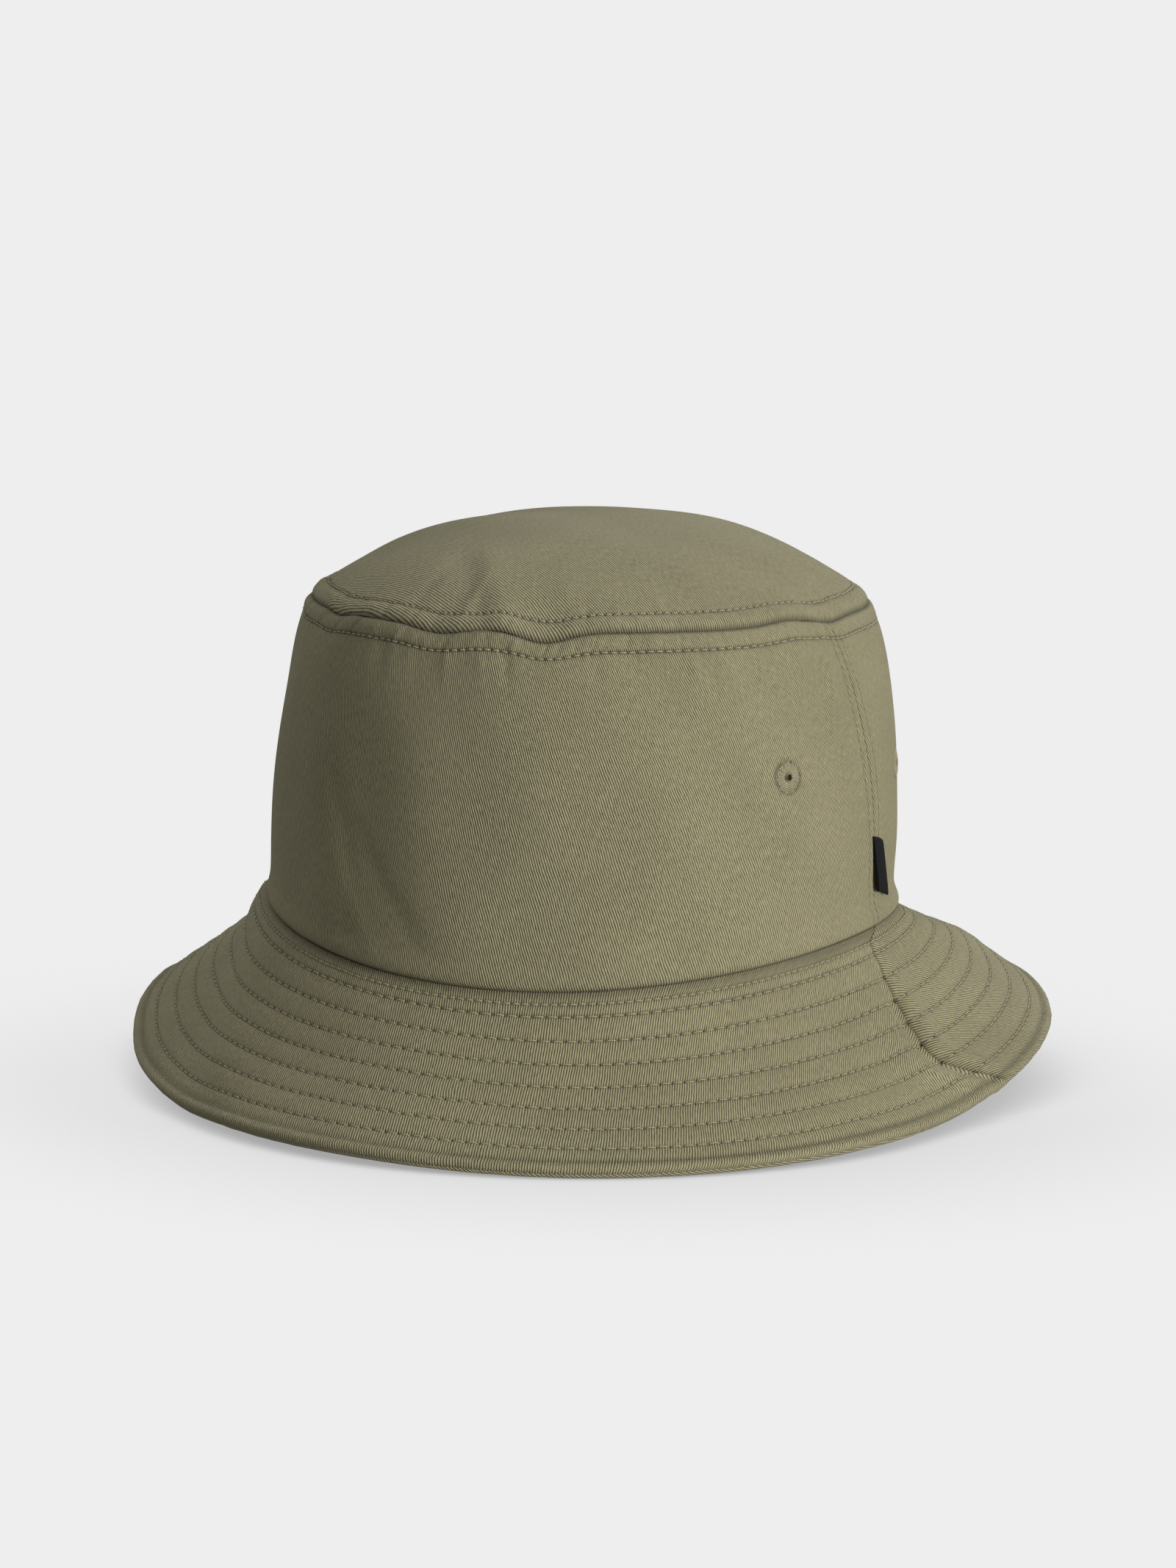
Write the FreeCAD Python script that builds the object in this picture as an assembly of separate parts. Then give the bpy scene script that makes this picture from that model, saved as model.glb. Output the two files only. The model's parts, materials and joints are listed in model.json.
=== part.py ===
"""Bucket hat of cotton twill, resting on its brim.

+Z is up, -Y is the front of the hat and +X is the wearer's left. Lengths are millimetres and angles are
degrees. Angles go round the hat anticlockwise from above: 0 is the wearer's left, 90 the back, 180 the right
and 270 the front. The origin is on the surface that the hat rests on, under the middle of the whole hat.

The crown is an oval tip on a front and a back side panel, joined by a seam at each side. The brim is two
layers of cloth on a stiffening interlining, each in a front and a back half, quilted together by rows of
stitches.
"""
import FreeCAD, Part
import math
import os

os.makedirs("parts", exist_ok=True)
Vector = FreeCAD.Vector

# Head opening and crown
BASE_HALF_WIDTH = 88.5
BASE_HALF_LENGTH = 96.0
TOP_HALF_WIDTH = 80.0
TOP_HALF_LENGTH = 94.0
SIDE_HEIGHT = 92.0
SIDE_BULGE = 1.5
SHOULDER_INSET = 3.2
TIP_RISE = 24.0
TIP_ROUNDNESS = 2.5

# Height of the crown's foot above the table, and how that seam waves up at the sides
FOOT_HEIGHT = 44.6
FOOT_WAVE = 4.9
FOOT_WAVE_TURN = 13.0
FOOT_TILT_BACK = 1.4
FOOT_TILT_RIGHT = 0.9

# Side seams: a little behind the middle at the crown's foot, and leaning forward towards the top
SEAM_ANGLE = 3.0
SEAM_LEAN = -9.0

# Brim: width along the cloth, and how steeply it drops where it leaves the crown and at its hem,
# at every 30 degrees round the hat from the wearer's left
BRIM_WIDTH = 57.0
DROP_AT_CROWN = [63, 34, 17, 38, 47, 41, 43, 62, 58, 53, 64, 69]
DROP_AT_HEM = [40, 34, 34, 49, 46, 31, 30, 31, 32, 29, 24, 29]

# Cloth and other thicknesses, and the air left between cloth and what is sewn flat onto it
CLOTH = 0.8
INTERLINING = 0.8
BRIM_DEPTH = 2.0 * CLOTH + INTERLINING
TAPE = 0.5
BAND = 1.0
THREAD = 0.5
THREAD_PROUD = 0.3
LABEL_CLOTH = 0.4
SEWN_GAP = 0.08

# Stitching
TIP_ROW_INSET = 5.0
SIDE_ROW_OFFSET = 3.2
FIRST_BRIM_ROW = 6.1
BRIM_ROW_PITCH = 7.1
BRIM_ROWS = 7
FOOT_ROW_INSET = 1.0
HEM_SETBACK = 1.5

# Inside trim
BAND_HEIGHT = 32.0
BAND_ROW_INSET = 1.5
TAPE_WIDTH = 10.0
END_GAP = 0.3

# Eyelets: angle from the side of the hat and height above the crown's foot, of the front and the back pair
FRONT_EYELETS = (23.5, 51.0)
BACK_EYELETS = (16.5, 45.5)
EYELET_RADIUS = 4.8
EYELET_HOLE_RADIUS = 1.0
CLOTH_HOLE_RADIUS = 1.6
EYELET_PROUD = 0.6
EYELET_BACK = 0.4
EYELET_BACK_GAP = 0.2

# Labels: the flag lies back along the crown, turned in a little from the seam's tangent, and the care label
# is lifted off the crown's inside
FLAG_HEIGHT = 17.0
FLAG_LENGTH = 9.5
FLAG_THICKNESS = 1.2
FLAG_BOTTOM = 10.0
FLAG_LIE = 3.0
CARE_HEIGHT = 34.0
CARE_LENGTH = 24.0
CARE_THICKNESS = 1.0
CARE_BOTTOM = 36.0
CARE_LIFT = 18.0
LABEL_CLEARANCE = 0.8
SIZE_LABEL_WIDTH = 26.0
SIZE_LABEL_HEIGHT = 14.0
SIZE_LABEL_BOTTOM = 9.0
SIZE_LABEL_GAP = 0.2

LEFT, BACK, RIGHT = 0.0, 90.0, 180.0
COMPASS_STEP = 30.0

# How finely each panel or strip is shaped, along it and up it. More than about 70 points in a line would
# make the interpolated surface stray near its start.
COLUMNS = 61
PANEL_ROWS = 13


def cosd(angle):
    return math.cos(math.radians(angle))


def sind(angle):
    return math.sin(math.radians(angle))


def mix(first, second, share):
    return first + (second - first) * share


def around(values, angle):
    """A smooth closed curve through values given every COMPASS_STEP degrees."""
    place = (angle % 360.0) / COMPASS_STEP
    index = int(place)
    share = place - index
    before, start, end, after = [values[(index + step) % len(values)] for step in (-1, 0, 1, 2)]
    rise = (end - before) / 2.0
    fall = (after - start) / 2.0
    bend = 3.0 * (end - start) - 2.0 * rise - fall
    twist = 2.0 * (start - end) + rise + fall
    return start + share * (rise + share * (bend + share * twist))


def oval(half_width, half_length, angle):
    return Vector(half_width * cosd(angle), half_length * sind(angle), 0)


def outward(angle):
    """Level direction straight out of the head opening's oval."""
    direction = Vector(BASE_HALF_LENGTH * cosd(angle), BASE_HALF_WIDTH * sind(angle), 0)
    return direction.normalize()


def foot_height(angle):
    wave = FOOT_WAVE * cosd(2.0 * (angle - FOOT_WAVE_TURN))
    return FOOT_HEIGHT + wave + FOOT_TILT_BACK * sind(angle) - FOOT_TILT_RIGHT * cosd(angle)


def side_point(angle, height):
    """Outer face of the crown's side, at a height above its foot."""
    share = height / SIDE_HEIGHT
    turn = angle + (SEAM_ANGLE + SEAM_LEAN * share ** 2) * cosd(angle)
    low = oval(BASE_HALF_WIDTH, BASE_HALF_LENGTH, turn)
    high = oval(TOP_HALF_WIDTH, TOP_HALF_LENGTH, turn)
    fullness = SIDE_BULGE * 4.0 * share * (1.0 - share)
    shoulder = SHOULDER_INSET * (share ** 3 * (1.0 - share ** 2) - share ** 8)
    point = low + (high - low) * share + outward(turn) * (fullness + shoulder)
    point.z = mix(foot_height(turn), FOOT_HEIGHT + SIDE_HEIGHT, share)
    return point


def brim_point(angle, rise):
    """Upper face of the brim, at a distance along the cloth up from its hem."""
    turn = angle + SEAM_ANGLE * cosd(angle)
    reach = BRIM_WIDTH - rise
    at_crown = around(DROP_AT_CROWN, turn)
    bend = (around(DROP_AT_HEM, turn) - at_crown) * reach / BRIM_WIDTH
    half_bend = math.radians(bend / 2.0)
    chord = reach * (math.sin(half_bend) / half_bend if abs(half_bend) > 1e-6 else 1.0)
    drop = at_crown + bend / 2.0
    point = oval(BASE_HALF_WIDTH, BASE_HALF_LENGTH, turn) + outward(turn) * chord * cosd(drop)
    point.z = foot_height(turn) - chord * sind(drop)
    return point


def tip_point(angle, inset):
    """Upper face of the crown's tip, at a level distance in from its edge."""
    rim = side_point(angle, SIDE_HEIGHT)
    share = 1.0 - inset / math.hypot(rim.x, rim.y)
    rise = TIP_RISE * (1.0 - share ** TIP_ROUNDNESS)
    return Vector(rim.x * share, rim.y * share, rim.z + CLOTH + rise)


def face_normal(surface, angle, station):
    """Unit direction straight out of the cloth's visible face."""
    step = 0.05
    along = surface(angle + step, station) - surface(angle - step, station)
    across = surface(angle, station + step) - surface(angle, station - step)
    return along.cross(across).normalize()


def layer(surface, angles, stations, depths):
    """A closed solid of cloth, between two depths under a surface: negative depths stand proud of it."""
    faces = []
    for depth in depths:
        grid = [[surface(a, s) - face_normal(surface, a, s) * depth for s in stations] for a in angles]
        sheet = Part.BSplineSurface()
        sheet.interpolate(grid)
        faces.append(sheet)
    first, second = faces
    u_low, u_high, v_low, v_high = first.bounds()
    sides = [ruled(first.uIso(u), second.uIso(u)) for u in (u_low, u_high)]
    sides += [ruled(first.vIso(v), second.vIso(v)) for v in (v_low, v_high)]
    return closed_solid([first.toShape(), second.toShape()] + sides)


def ruled(first, second):
    """A narrow face between two curves."""
    return Part.makeRuledSurface(first.toShape(), second.toShape())


def closed_solid(faces):
    shell = Part.makeShell(faces)
    shell.sewShape()
    solid = Part.makeSolid(shell)
    if solid.Volume < 0:
        solid.reverse()
    return solid


def spread(start, end, count):
    return [mix(start, end, i / (count - 1)) for i in range(count)]


def arc_angle(length, radius):
    """Angle, seen from the hat's middle, of a length along the cloth."""
    return math.degrees(length / radius)


def half_turn(start):
    return spread(start, start + 180.0, COLUMNS)


def full_turn(start):
    """Angles once round the hat, from the place where a strip's two ends meet."""
    gap = arc_angle(END_GAP, BASE_HALF_LENGTH) / 2.0
    return spread(start + gap, start + 360.0 - gap, COLUMNS)


def eyelet_places(pair, forward):
    """Angle and height of a pair's left and right eyelet; forward is -1 for the front pair, else 1."""
    offset, height = pair
    return (LEFT + forward * offset, height), (RIGHT - forward * offset, height)


def eyelet_axis(place):
    """Middle of an eyelet on the crown's outer face, and the direction straight out of it."""
    return side_point(*place), face_normal(side_point, *place)


def crown_tip():
    """An oval dome of even height, whose rim stands on the side panels' top edge."""
    half_width = TOP_HALF_WIDTH - SHOULDER_INSET
    half_length = TOP_HALF_LENGTH - SHOULDER_INSET
    rim_height = FOOT_HEIGHT + SIDE_HEIGHT
    outer = []
    for share in spread(0.0, 1.0, 9):
        rise = TIP_RISE * (1.0 - share ** TIP_ROUNDNESS)
        outer.append(Vector(half_width * share, 0, rim_height + CLOTH + rise))
    inner = [point - Vector(0, 0, CLOTH) for point in outer]
    upper_curve = Part.BSplineCurve()
    upper_curve.interpolate(outer)
    lower_curve = Part.BSplineCurve()
    lower_curve.interpolate(inner)
    rim = Part.makeLine(outer[-1], inner[-1])
    middle = Part.makeLine(inner[0], outer[0])
    section = Part.Face(Part.Wire([upper_curve.toShape(), rim, lower_curve.toShape(), middle]))
    round_tip = section.revolve(Vector(0, 0, 0), Vector(0, 0, 1), 360)
    to_oval = FreeCAD.Matrix()
    to_oval.scale(1.0, half_length / half_width, 1.0)
    return round_tip.transformGeometry(to_oval)


def crown_side(start, eyelets):
    """One side panel of the crown, with a hole cut under each eyelet."""
    panel = layer(side_point, half_turn(start), spread(0.0, SIDE_HEIGHT, PANEL_ROWS), (0.0, CLOTH))
    for place in eyelets:
        middle, direction = eyelet_axis(place)
        length = 10.0 * CLOTH
        drill = Part.makeCylinder(CLOTH_HOLE_RADIUS, length, middle - direction * (length / 2.0), direction)
        panel = panel.cut(drill)
    return panel.Solids[0]


def eyelet(place):
    """A ring of thread that wraps the edge of a hole in the crown: a face, a barrel and a back."""
    middle, direction = eyelet_axis(place)
    back_face = CLOTH + EYELET_BACK_GAP
    bottom = middle - direction * (back_face + EYELET_BACK)
    back = Part.makeCylinder(EYELET_RADIUS - EYELET_PROUD, EYELET_BACK, bottom, direction)
    barrel = Part.makeCylinder(CLOTH_HOLE_RADIUS, back_face + EYELET_BACK, bottom, direction)
    dome = Part.makeCylinder(EYELET_RADIUS, EYELET_PROUD, middle, direction)
    rims = [edge for edge in dome.Edges if edge.Closed]
    outer_rim = [rim for rim in rims if rim.CenterOfMass.distanceToPoint(middle) > EYELET_PROUD / 2.0]
    dome = dome.makeFillet(0.8 * EYELET_PROUD, outer_rim)
    ring = dome.fuse(barrel).fuse(back)
    length = 10.0 * CLOTH
    hole = Part.makeCylinder(EYELET_HOLE_RADIUS, length, middle - direction * (length / 2.0), direction)
    return ring.cut(hole).Solids[0]


def brim_layer(start, depth, thickness, setback=0.0):
    stations = spread(setback, BRIM_WIDTH, PANEL_ROWS)
    return layer(brim_point, half_turn(start), stations, (depth, depth + thickness))


def laid_on(depth, thickness):
    """Depths of something sewn flat against the inner side of a layer that ends at a depth."""
    return (depth + SEWN_GAP, depth + SEWN_GAP + thickness)


def row(surface, station, depths):
    """A line of stitches once round the hat, as one thin strip."""
    stations = spread(station - THREAD / 2.0, station + THREAD / 2.0, 3)
    return layer(surface, full_turn(RIGHT), stations, depths)


def brim_rows(depths):
    reaches = [FIRST_BRIM_ROW + i * BRIM_ROW_PITCH for i in range(BRIM_ROWS)]
    return Part.makeCompound([row(brim_point, BRIM_WIDTH - reach, depths) for reach in reaches])


def upright_strip(angle, offset, width, heights, depths):
    """A strip up the inside or outside of the crown, beside a seam."""
    middle = angle + arc_angle(offset, BASE_HALF_WIDTH)
    half = arc_angle(width / 2.0, BASE_HALF_WIDTH)
    return layer(side_point, spread(middle - half, middle + half, 3), spread(*heights, PANEL_ROWS), depths)


def side_rows(angle, depths):
    heights = (2.0 * FOOT_ROW_INSET, SIDE_HEIGHT - TIP_ROW_INSET - THREAD)
    offsets = (-SIDE_ROW_OFFSET, SIDE_ROW_OFFSET)
    strips = [upright_strip(angle, offset, THREAD, heights, depths) for offset in offsets]
    return Part.makeCompound(strips)


def seam_tape(angle):
    heights = (BAND_HEIGHT + THREAD, SIDE_HEIGHT - TAPE_WIDTH)
    return upright_strip(angle, 0.0, TAPE_WIDTH, heights, laid_on(CLOTH, TAPE))


def band(low, high, depths):
    """A strip once round the inside of the crown, whose ends meet at the back."""
    return layer(side_point, full_turn(BACK), spread(low, high, 5), depths)


def size_label():
    half = arc_angle(SIZE_LABEL_WIDTH / 2.0, BASE_HALF_LENGTH)
    heights = spread(SIZE_LABEL_BOTTOM, SIZE_LABEL_BOTTOM + SIZE_LABEL_HEIGHT, 5)
    depths = laid_on(CLOTH + BAND + SIZE_LABEL_GAP, LABEL_CLOTH)
    return layer(side_point, spread(BACK - half, BACK + half, 9), heights, depths)


def folded_label(root, direction, height, length, thickness):
    """A tape folded into a flat loop, standing upright, with both ends at its root."""
    ply = 0.4 * thickness
    end_radius = thickness / 2.0
    flat = Part.makeBox(length - end_radius, thickness, height, Vector(0, -end_radius, 0))
    fold = Part.makeCylinder(end_radius, height, Vector(length - end_radius, 0, 0))
    gap = Part.makeBox(length - ply, thickness - 2.0 * ply, height, Vector(0, ply - end_radius, 0))
    label = flat.fuse(fold).cut(gap).removeSplitter().Solids[0]
    label.rotate(Vector(0, 0, 0), Vector(0, 0, 1), direction)
    label.translate(root)
    return label


def flag_root():
    """Foot of the line that the flag label turns about, just clear of the left side seam."""
    seam = side_point(LEFT, FLAG_BOTTOM)
    return seam + outward(SEAM_ANGLE) * (FLAG_THICKNESS / 2.0 + LABEL_CLEARANCE)


def care_root():
    """Foot of the line that the care label turns about, just clear of the tape on the left side seam."""
    seam = side_point(LEFT, CARE_BOTTOM + CARE_HEIGHT)
    inset = CLOTH + SEWN_GAP + TAPE + CARE_THICKNESS / 2.0 + LABEL_CLEARANCE
    root = seam - outward(SEAM_ANGLE) * inset
    root.z = side_point(LEFT, CARE_BOTTOM).z
    return root


def flag_label():
    direction = SEAM_ANGLE + 90.0 + FLAG_LIE
    return folded_label(flag_root(), direction, FLAG_HEIGHT, FLAG_LENGTH, FLAG_THICKNESS)


def care_label():
    direction = SEAM_ANGLE + 90.0 + CARE_LIFT
    return folded_label(care_root(), direction, CARE_HEIGHT, CARE_LENGTH, CARE_THICKNESS)


def place_on_table():
    """The move that puts the middle of the whole hat over the origin and its hem on the table."""
    upper = [brim_point(angle, 0.0) for angle in range(360)]
    thickness = [face_normal(brim_point, angle, 0.0) * BRIM_DEPTH for angle in range(360)]
    lower = [point - depth for point, depth in zip(upper, thickness)]
    middle_x = (min(p.x for p in upper) + max(p.x for p in upper)) / 2.0
    middle_y = (min(p.y for p in upper) + max(p.y for p in upper)) / 2.0
    return Vector(-middle_x, -middle_y, -min(p.z for p in lower))


on_face = (-SEWN_GAP - THREAD_PROUD, -SEWN_GAP)
front_eyelets = eyelet_places(FRONT_EYELETS, -1)
back_eyelets = eyelet_places(BACK_EYELETS, 1)
tip_tape_heights = (SIDE_HEIGHT - TAPE_WIDTH + THREAD, SIDE_HEIGHT - THREAD)
pieces = {
    "crown_tip": crown_tip(),
    "crown_side_front": crown_side(RIGHT, front_eyelets),
    "crown_side_back": crown_side(LEFT, back_eyelets),
    "brim_top_front": brim_layer(RIGHT, 0.0, CLOTH),
    "brim_top_back": brim_layer(LEFT, 0.0, CLOTH),
    "brim_interlining_front": brim_layer(RIGHT, CLOTH, INTERLINING, HEM_SETBACK),
    "brim_interlining_back": brim_layer(LEFT, CLOTH, INTERLINING, HEM_SETBACK),
    "brim_under_front": brim_layer(RIGHT, CLOTH + INTERLINING, CLOTH),
    "brim_under_back": brim_layer(LEFT, CLOTH + INTERLINING, CLOTH),
    "sweatband": band(0.0, BAND_HEIGHT, laid_on(CLOTH, BAND)),
    "tip_seam_tape": band(*tip_tape_heights, laid_on(CLOTH, TAPE)),
    "side_seam_tape_left": seam_tape(LEFT),
    "side_seam_tape_right": seam_tape(RIGHT),
    "eyelet_left_front": eyelet(front_eyelets[0]),
    "eyelet_left_back": eyelet(back_eyelets[0]),
    "eyelet_right_front": eyelet(front_eyelets[1]),
    "eyelet_right_back": eyelet(back_eyelets[1]),
    "flag_label": flag_label(),
    "care_label": care_label(),
    "size_label": size_label(),
    "tip_stitching_upper": row(tip_point, TIP_ROW_INSET, on_face),
    "tip_stitching_lower": row(side_point, SIDE_HEIGHT - TIP_ROW_INSET, on_face),
    "side_stitching_left": side_rows(LEFT, on_face),
    "side_stitching_right": side_rows(RIGHT, on_face),
    "crown_foot_stitching": row(brim_point, BRIM_WIDTH - FOOT_ROW_INSET, on_face),
    "brim_stitching": brim_rows(on_face),
    "brim_bobbin_stitching": brim_rows(laid_on(BRIM_DEPTH, THREAD_PROUD)),
    "sweatband_stitching": row(side_point, BAND_ROW_INSET, laid_on(CLOTH + SEWN_GAP + BAND, THREAD_PROUD)),
}

move = place_on_table()
for name, piece in pieces.items():
    piece.translate(move)
    piece.exportStep("parts/" + name + ".step")
    sound = piece.isValid() and all(solid.Volume > 0 for solid in piece.Solids)
    print(name, len(piece.Solids), "valid" if sound else "BROKEN", round(piece.Volume, 1))

print("moved by", move)
print("flag label turns about", flag_root() + move)
print("care label turns about", care_root() + move)
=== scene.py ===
"""Looks of the bucket hat: sewn cotton twill panels, single stitches, thread eyelets and woven labels.

Shape functions work in millimetres and degrees, with the origin at the middle of the crown, and to_frame()
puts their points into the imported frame. Angles go round the hat anticlockwise from above: 0 is the wearer's
left, 90 the back, 180 the right and 270 the front.
"""

import json
import math

import bpy
import numpy as np
from mathutils import Matrix, Vector


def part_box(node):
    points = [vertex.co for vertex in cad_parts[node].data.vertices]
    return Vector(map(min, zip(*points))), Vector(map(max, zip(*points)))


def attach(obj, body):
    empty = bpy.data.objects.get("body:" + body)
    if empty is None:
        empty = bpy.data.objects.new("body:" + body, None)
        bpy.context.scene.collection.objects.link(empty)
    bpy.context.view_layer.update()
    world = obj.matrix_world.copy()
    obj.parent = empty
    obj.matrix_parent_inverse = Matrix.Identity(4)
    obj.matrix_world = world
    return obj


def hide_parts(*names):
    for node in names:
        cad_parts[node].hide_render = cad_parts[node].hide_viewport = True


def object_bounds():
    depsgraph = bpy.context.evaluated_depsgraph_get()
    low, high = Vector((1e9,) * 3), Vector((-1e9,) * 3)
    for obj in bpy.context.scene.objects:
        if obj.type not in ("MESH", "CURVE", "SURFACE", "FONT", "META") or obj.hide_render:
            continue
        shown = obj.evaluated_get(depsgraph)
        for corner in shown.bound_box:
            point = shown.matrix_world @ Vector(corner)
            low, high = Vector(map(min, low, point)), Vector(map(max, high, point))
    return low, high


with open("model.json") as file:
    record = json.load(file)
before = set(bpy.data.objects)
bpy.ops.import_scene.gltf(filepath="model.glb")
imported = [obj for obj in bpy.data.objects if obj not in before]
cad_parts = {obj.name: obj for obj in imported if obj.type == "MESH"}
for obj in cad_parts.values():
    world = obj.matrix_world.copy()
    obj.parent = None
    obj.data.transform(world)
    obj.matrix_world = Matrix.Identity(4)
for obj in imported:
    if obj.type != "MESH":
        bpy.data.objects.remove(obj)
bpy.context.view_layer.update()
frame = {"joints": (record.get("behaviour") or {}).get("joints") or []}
MM = 0.001

# Driving dimensions of the hat, as in its CAD part
SIDE_HEIGHT = 92.0
SHOULDER_INSET = 3.2
SIDE_BULGE = 1.5
TIP_RISE = 24.0
TIP_ROUNDNESS = 2.5
BASE_HALF_WIDTH = 88.5
BASE_HALF_LENGTH = 96.0
FOOT_HEIGHT = 44.6
FOOT_WAVE = 4.9
FOOT_WAVE_TURN = 13.0
FOOT_TILT_BACK = 1.4
FOOT_TILT_RIGHT = 0.9
SEAM_ANGLE = 3.0
SEAM_LEAN = -9.0
BRIM_WIDTH = 57.0
DROP_AT_CROWN = np.array([63, 34, 17, 38, 47, 41, 43, 62, 58, 53, 64, 69], float)
DROP_AT_HEM = np.array([40, 34, 34, 49, 46, 31, 30, 31, 32, 29, 24, 29], float)
COMPASS_STEP = 30.0
CLOTH = 0.8
INTERLINING = 0.8
HEM_ROLL = 1.3
UNDER_ROLL = 1.05
UNDER_SETBACK = 0.25
HEM_RISE = 0.35
HEM_SWELL = 1.1
TAPE = 0.5
BAND = 1.0
BRIM_DEPTH = 2.0 * CLOTH + INTERLINING

tip_low, tip_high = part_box("crown_tip")
TOP_HALF_WIDTH = (tip_high.x - tip_low.x) / 2.0 / MM + SHOULDER_INSET
TOP_HALF_LENGTH = (tip_high.y - tip_low.y) / 2.0 / MM + SHOULDER_INSET
MIDDLE = np.array([
    (tip_low.x + tip_high.x) / 2.0 / MM,
    (tip_low.y + tip_high.y) / 2.0 / MM,
    tip_high.z / MM - (FOOT_HEIGHT + SIDE_HEIGHT + CLOTH + TIP_RISE),
])

# Stitch rows
TIP_ROW = 5.0
SIDE_ROW = 3.2
FIRST_BRIM_ROW = 6.1
BRIM_ROW_PITCH = 7.1
BRIM_ROWS = 7
FOOT_ROW = 2.6
BAND_ROW = 1.5
BRIM_ROW_REACHES = [FIRST_BRIM_ROW + i * BRIM_ROW_PITCH for i in range(BRIM_ROWS)]
TIP_STITCHES = 190
FOOT_STITCHES = 232
BAND_STITCHES = 180
UPRIGHT_PITCH = 2.9
BRIM_PITCH = 3.6

# Trim
BAND_HEIGHT = 32.0
TAPE_WIDTH = 10.0
EYELET_RADIUS = 4.3
EYELET_HOLE = 0.9
CLOTH_HOLE = 1.5
FLAG_LENGTH = 10.0
FLAG_PLY = 0.4
FLAG_TUCK = 0.7
FLAG_RAISE = 1.0
FLAG_LIE = 4.0
FLAG_SLANT = -3.2
FLAG_LEAN = 1.3
FLAG_DROOP = 2.4
CARE_LENGTH = 24.0
CARE_PLY = 0.35
CARE_LIFT = 18.0
SIZE_LABEL_WIDTH = 26.0
SIZE_LABEL_LOW = 9.0
SIZE_LABEL_HIGH = 23.0

UP = np.array([0.0, 0.0, 1.0])
LEFT, BACK, RIGHT, FRONT = 0.0, 90.0, 180.0, 270.0
EYELETS = {
    "eyelet_left_front": (LEFT - 23.5, 51.0),
    "eyelet_left_back": (LEFT + 16.5, 45.5),
    "eyelet_right_front": (RIGHT + 23.5, 51.0),
    "eyelet_right_back": (RIGHT - 16.5, 45.5),
}


def cosd(angle):
    return np.cos(np.radians(angle))


def sind(angle):
    return np.sin(np.radians(angle))


def bell(distance, width):
    return np.exp(-(distance / width) ** 2)


def smooth(value, low, high):
    share = np.clip((value - low) / (high - low), 0.0, 1.0)
    return share * share * (3.0 - 2.0 * share)


def around(values, angle):
    """A smooth closed curve through values given every COMPASS_STEP degrees."""
    place = (angle % 360.0) / COMPASS_STEP
    index = np.floor(place).astype(int)
    share = place - index
    count = len(values)
    before, start, end, after = [values[(index + step) % count] for step in (-1, 0, 1, 2)]
    rise = (end - before) / 2.0
    fall = (after - start) / 2.0
    bend = 3.0 * (end - start) - 2.0 * rise - fall
    twist = 2.0 * (start - end) + rise + fall
    return start + share * (rise + share * (bend + share * twist))


def turn_from(angle, centre):
    """Signed angle from a centre, between -180 and 180 degrees."""
    return (angle - centre + 180.0) % 360.0 - 180.0


def oval(half_width, half_length, angle):
    return np.stack([half_width * cosd(angle), half_length * sind(angle), 0.0 * angle], -1)


def unit(vectors):
    return vectors / np.linalg.norm(vectors, axis=-1, keepdims=True)


def outward(angle):
    return unit(oval(BASE_HALF_LENGTH, BASE_HALF_WIDTH, angle))


def foot_height(angle):
    wave = FOOT_WAVE * cosd(2.0 * (angle - FOOT_WAVE_TURN))
    return FOOT_HEIGHT + wave + FOOT_TILT_BACK * sind(angle) - FOOT_TILT_RIGHT * cosd(angle)


def side_point(angle, height):
    share = height / SIDE_HEIGHT
    turn = angle + (SEAM_ANGLE + SEAM_LEAN * share ** 2) * cosd(angle)
    low = oval(BASE_HALF_WIDTH, BASE_HALF_LENGTH, turn)
    high = oval(TOP_HALF_WIDTH, TOP_HALF_LENGTH, turn)
    fullness = SIDE_BULGE * 4.0 * share * (1.0 - share)
    shoulder = SHOULDER_INSET * (share ** 3 * (1.0 - share ** 2) - share ** 8)
    point = low + (high - low) * share[..., None] + outward(turn) * (fullness + shoulder)[..., None]
    point[..., 2] = foot_height(turn) * (1.0 - share) + (FOOT_HEIGHT + SIDE_HEIGHT) * share
    return point


def brim_point(angle, reach):
    """Upper face of the brim, at a distance along the cloth out from the crown's foot."""
    turn = angle + SEAM_ANGLE * cosd(angle)
    at_crown = around(DROP_AT_CROWN, turn)
    bend = (around(DROP_AT_HEM, turn) - at_crown) * reach / BRIM_WIDTH
    half_bend = np.radians(bend / 2.0)
    chord = reach * np.sinc(half_bend / math.pi)
    drop = at_crown + bend / 2.0
    point = oval(BASE_HALF_WIDTH, BASE_HALF_LENGTH, turn) + outward(turn) * (chord * cosd(drop))[..., None]
    point[..., 2] = foot_height(turn) - chord * sind(drop)
    return point


def tip_point(angle, inset):
    rim = side_point(angle, SIDE_HEIGHT + 0.0 * angle)
    share = 1.0 - inset / np.hypot(rim[..., 0], rim[..., 1])
    point = rim * share[..., None]
    # A share a little past the rim bends down steeply, which the rolled edge of the tip needs
    point[..., 2] = rim[..., 2] + CLOTH + TIP_RISE * (1.0 - np.clip(share, 0.0, None) ** TIP_ROUNDNESS)
    return point


def normals(surface, angle, station):
    """Unit directions out of the cloth's visible face; stations run outward or downward from the crown."""
    step = 0.05
    along = surface(angle + step, station) - surface(angle - step, station)
    across = surface(angle, station + step) - surface(angle, station - step)
    return unit(np.cross(along, across))


def arc_distance(angle, centre, radius=BASE_HALF_WIDTH):
    """Length along the cloth from an upright line at a centre angle."""
    return np.radians(turn_from(angle, centre)) * radius


def needle_dents(phase, across, depth, width=0.8):
    """A groove along a row of stitches, deepest where the needle went in at each whole phase."""
    holes = np.cos(np.pi * phase) ** 6
    return -depth * bell(across, width) * (0.45 + 0.9 * holes)


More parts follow.
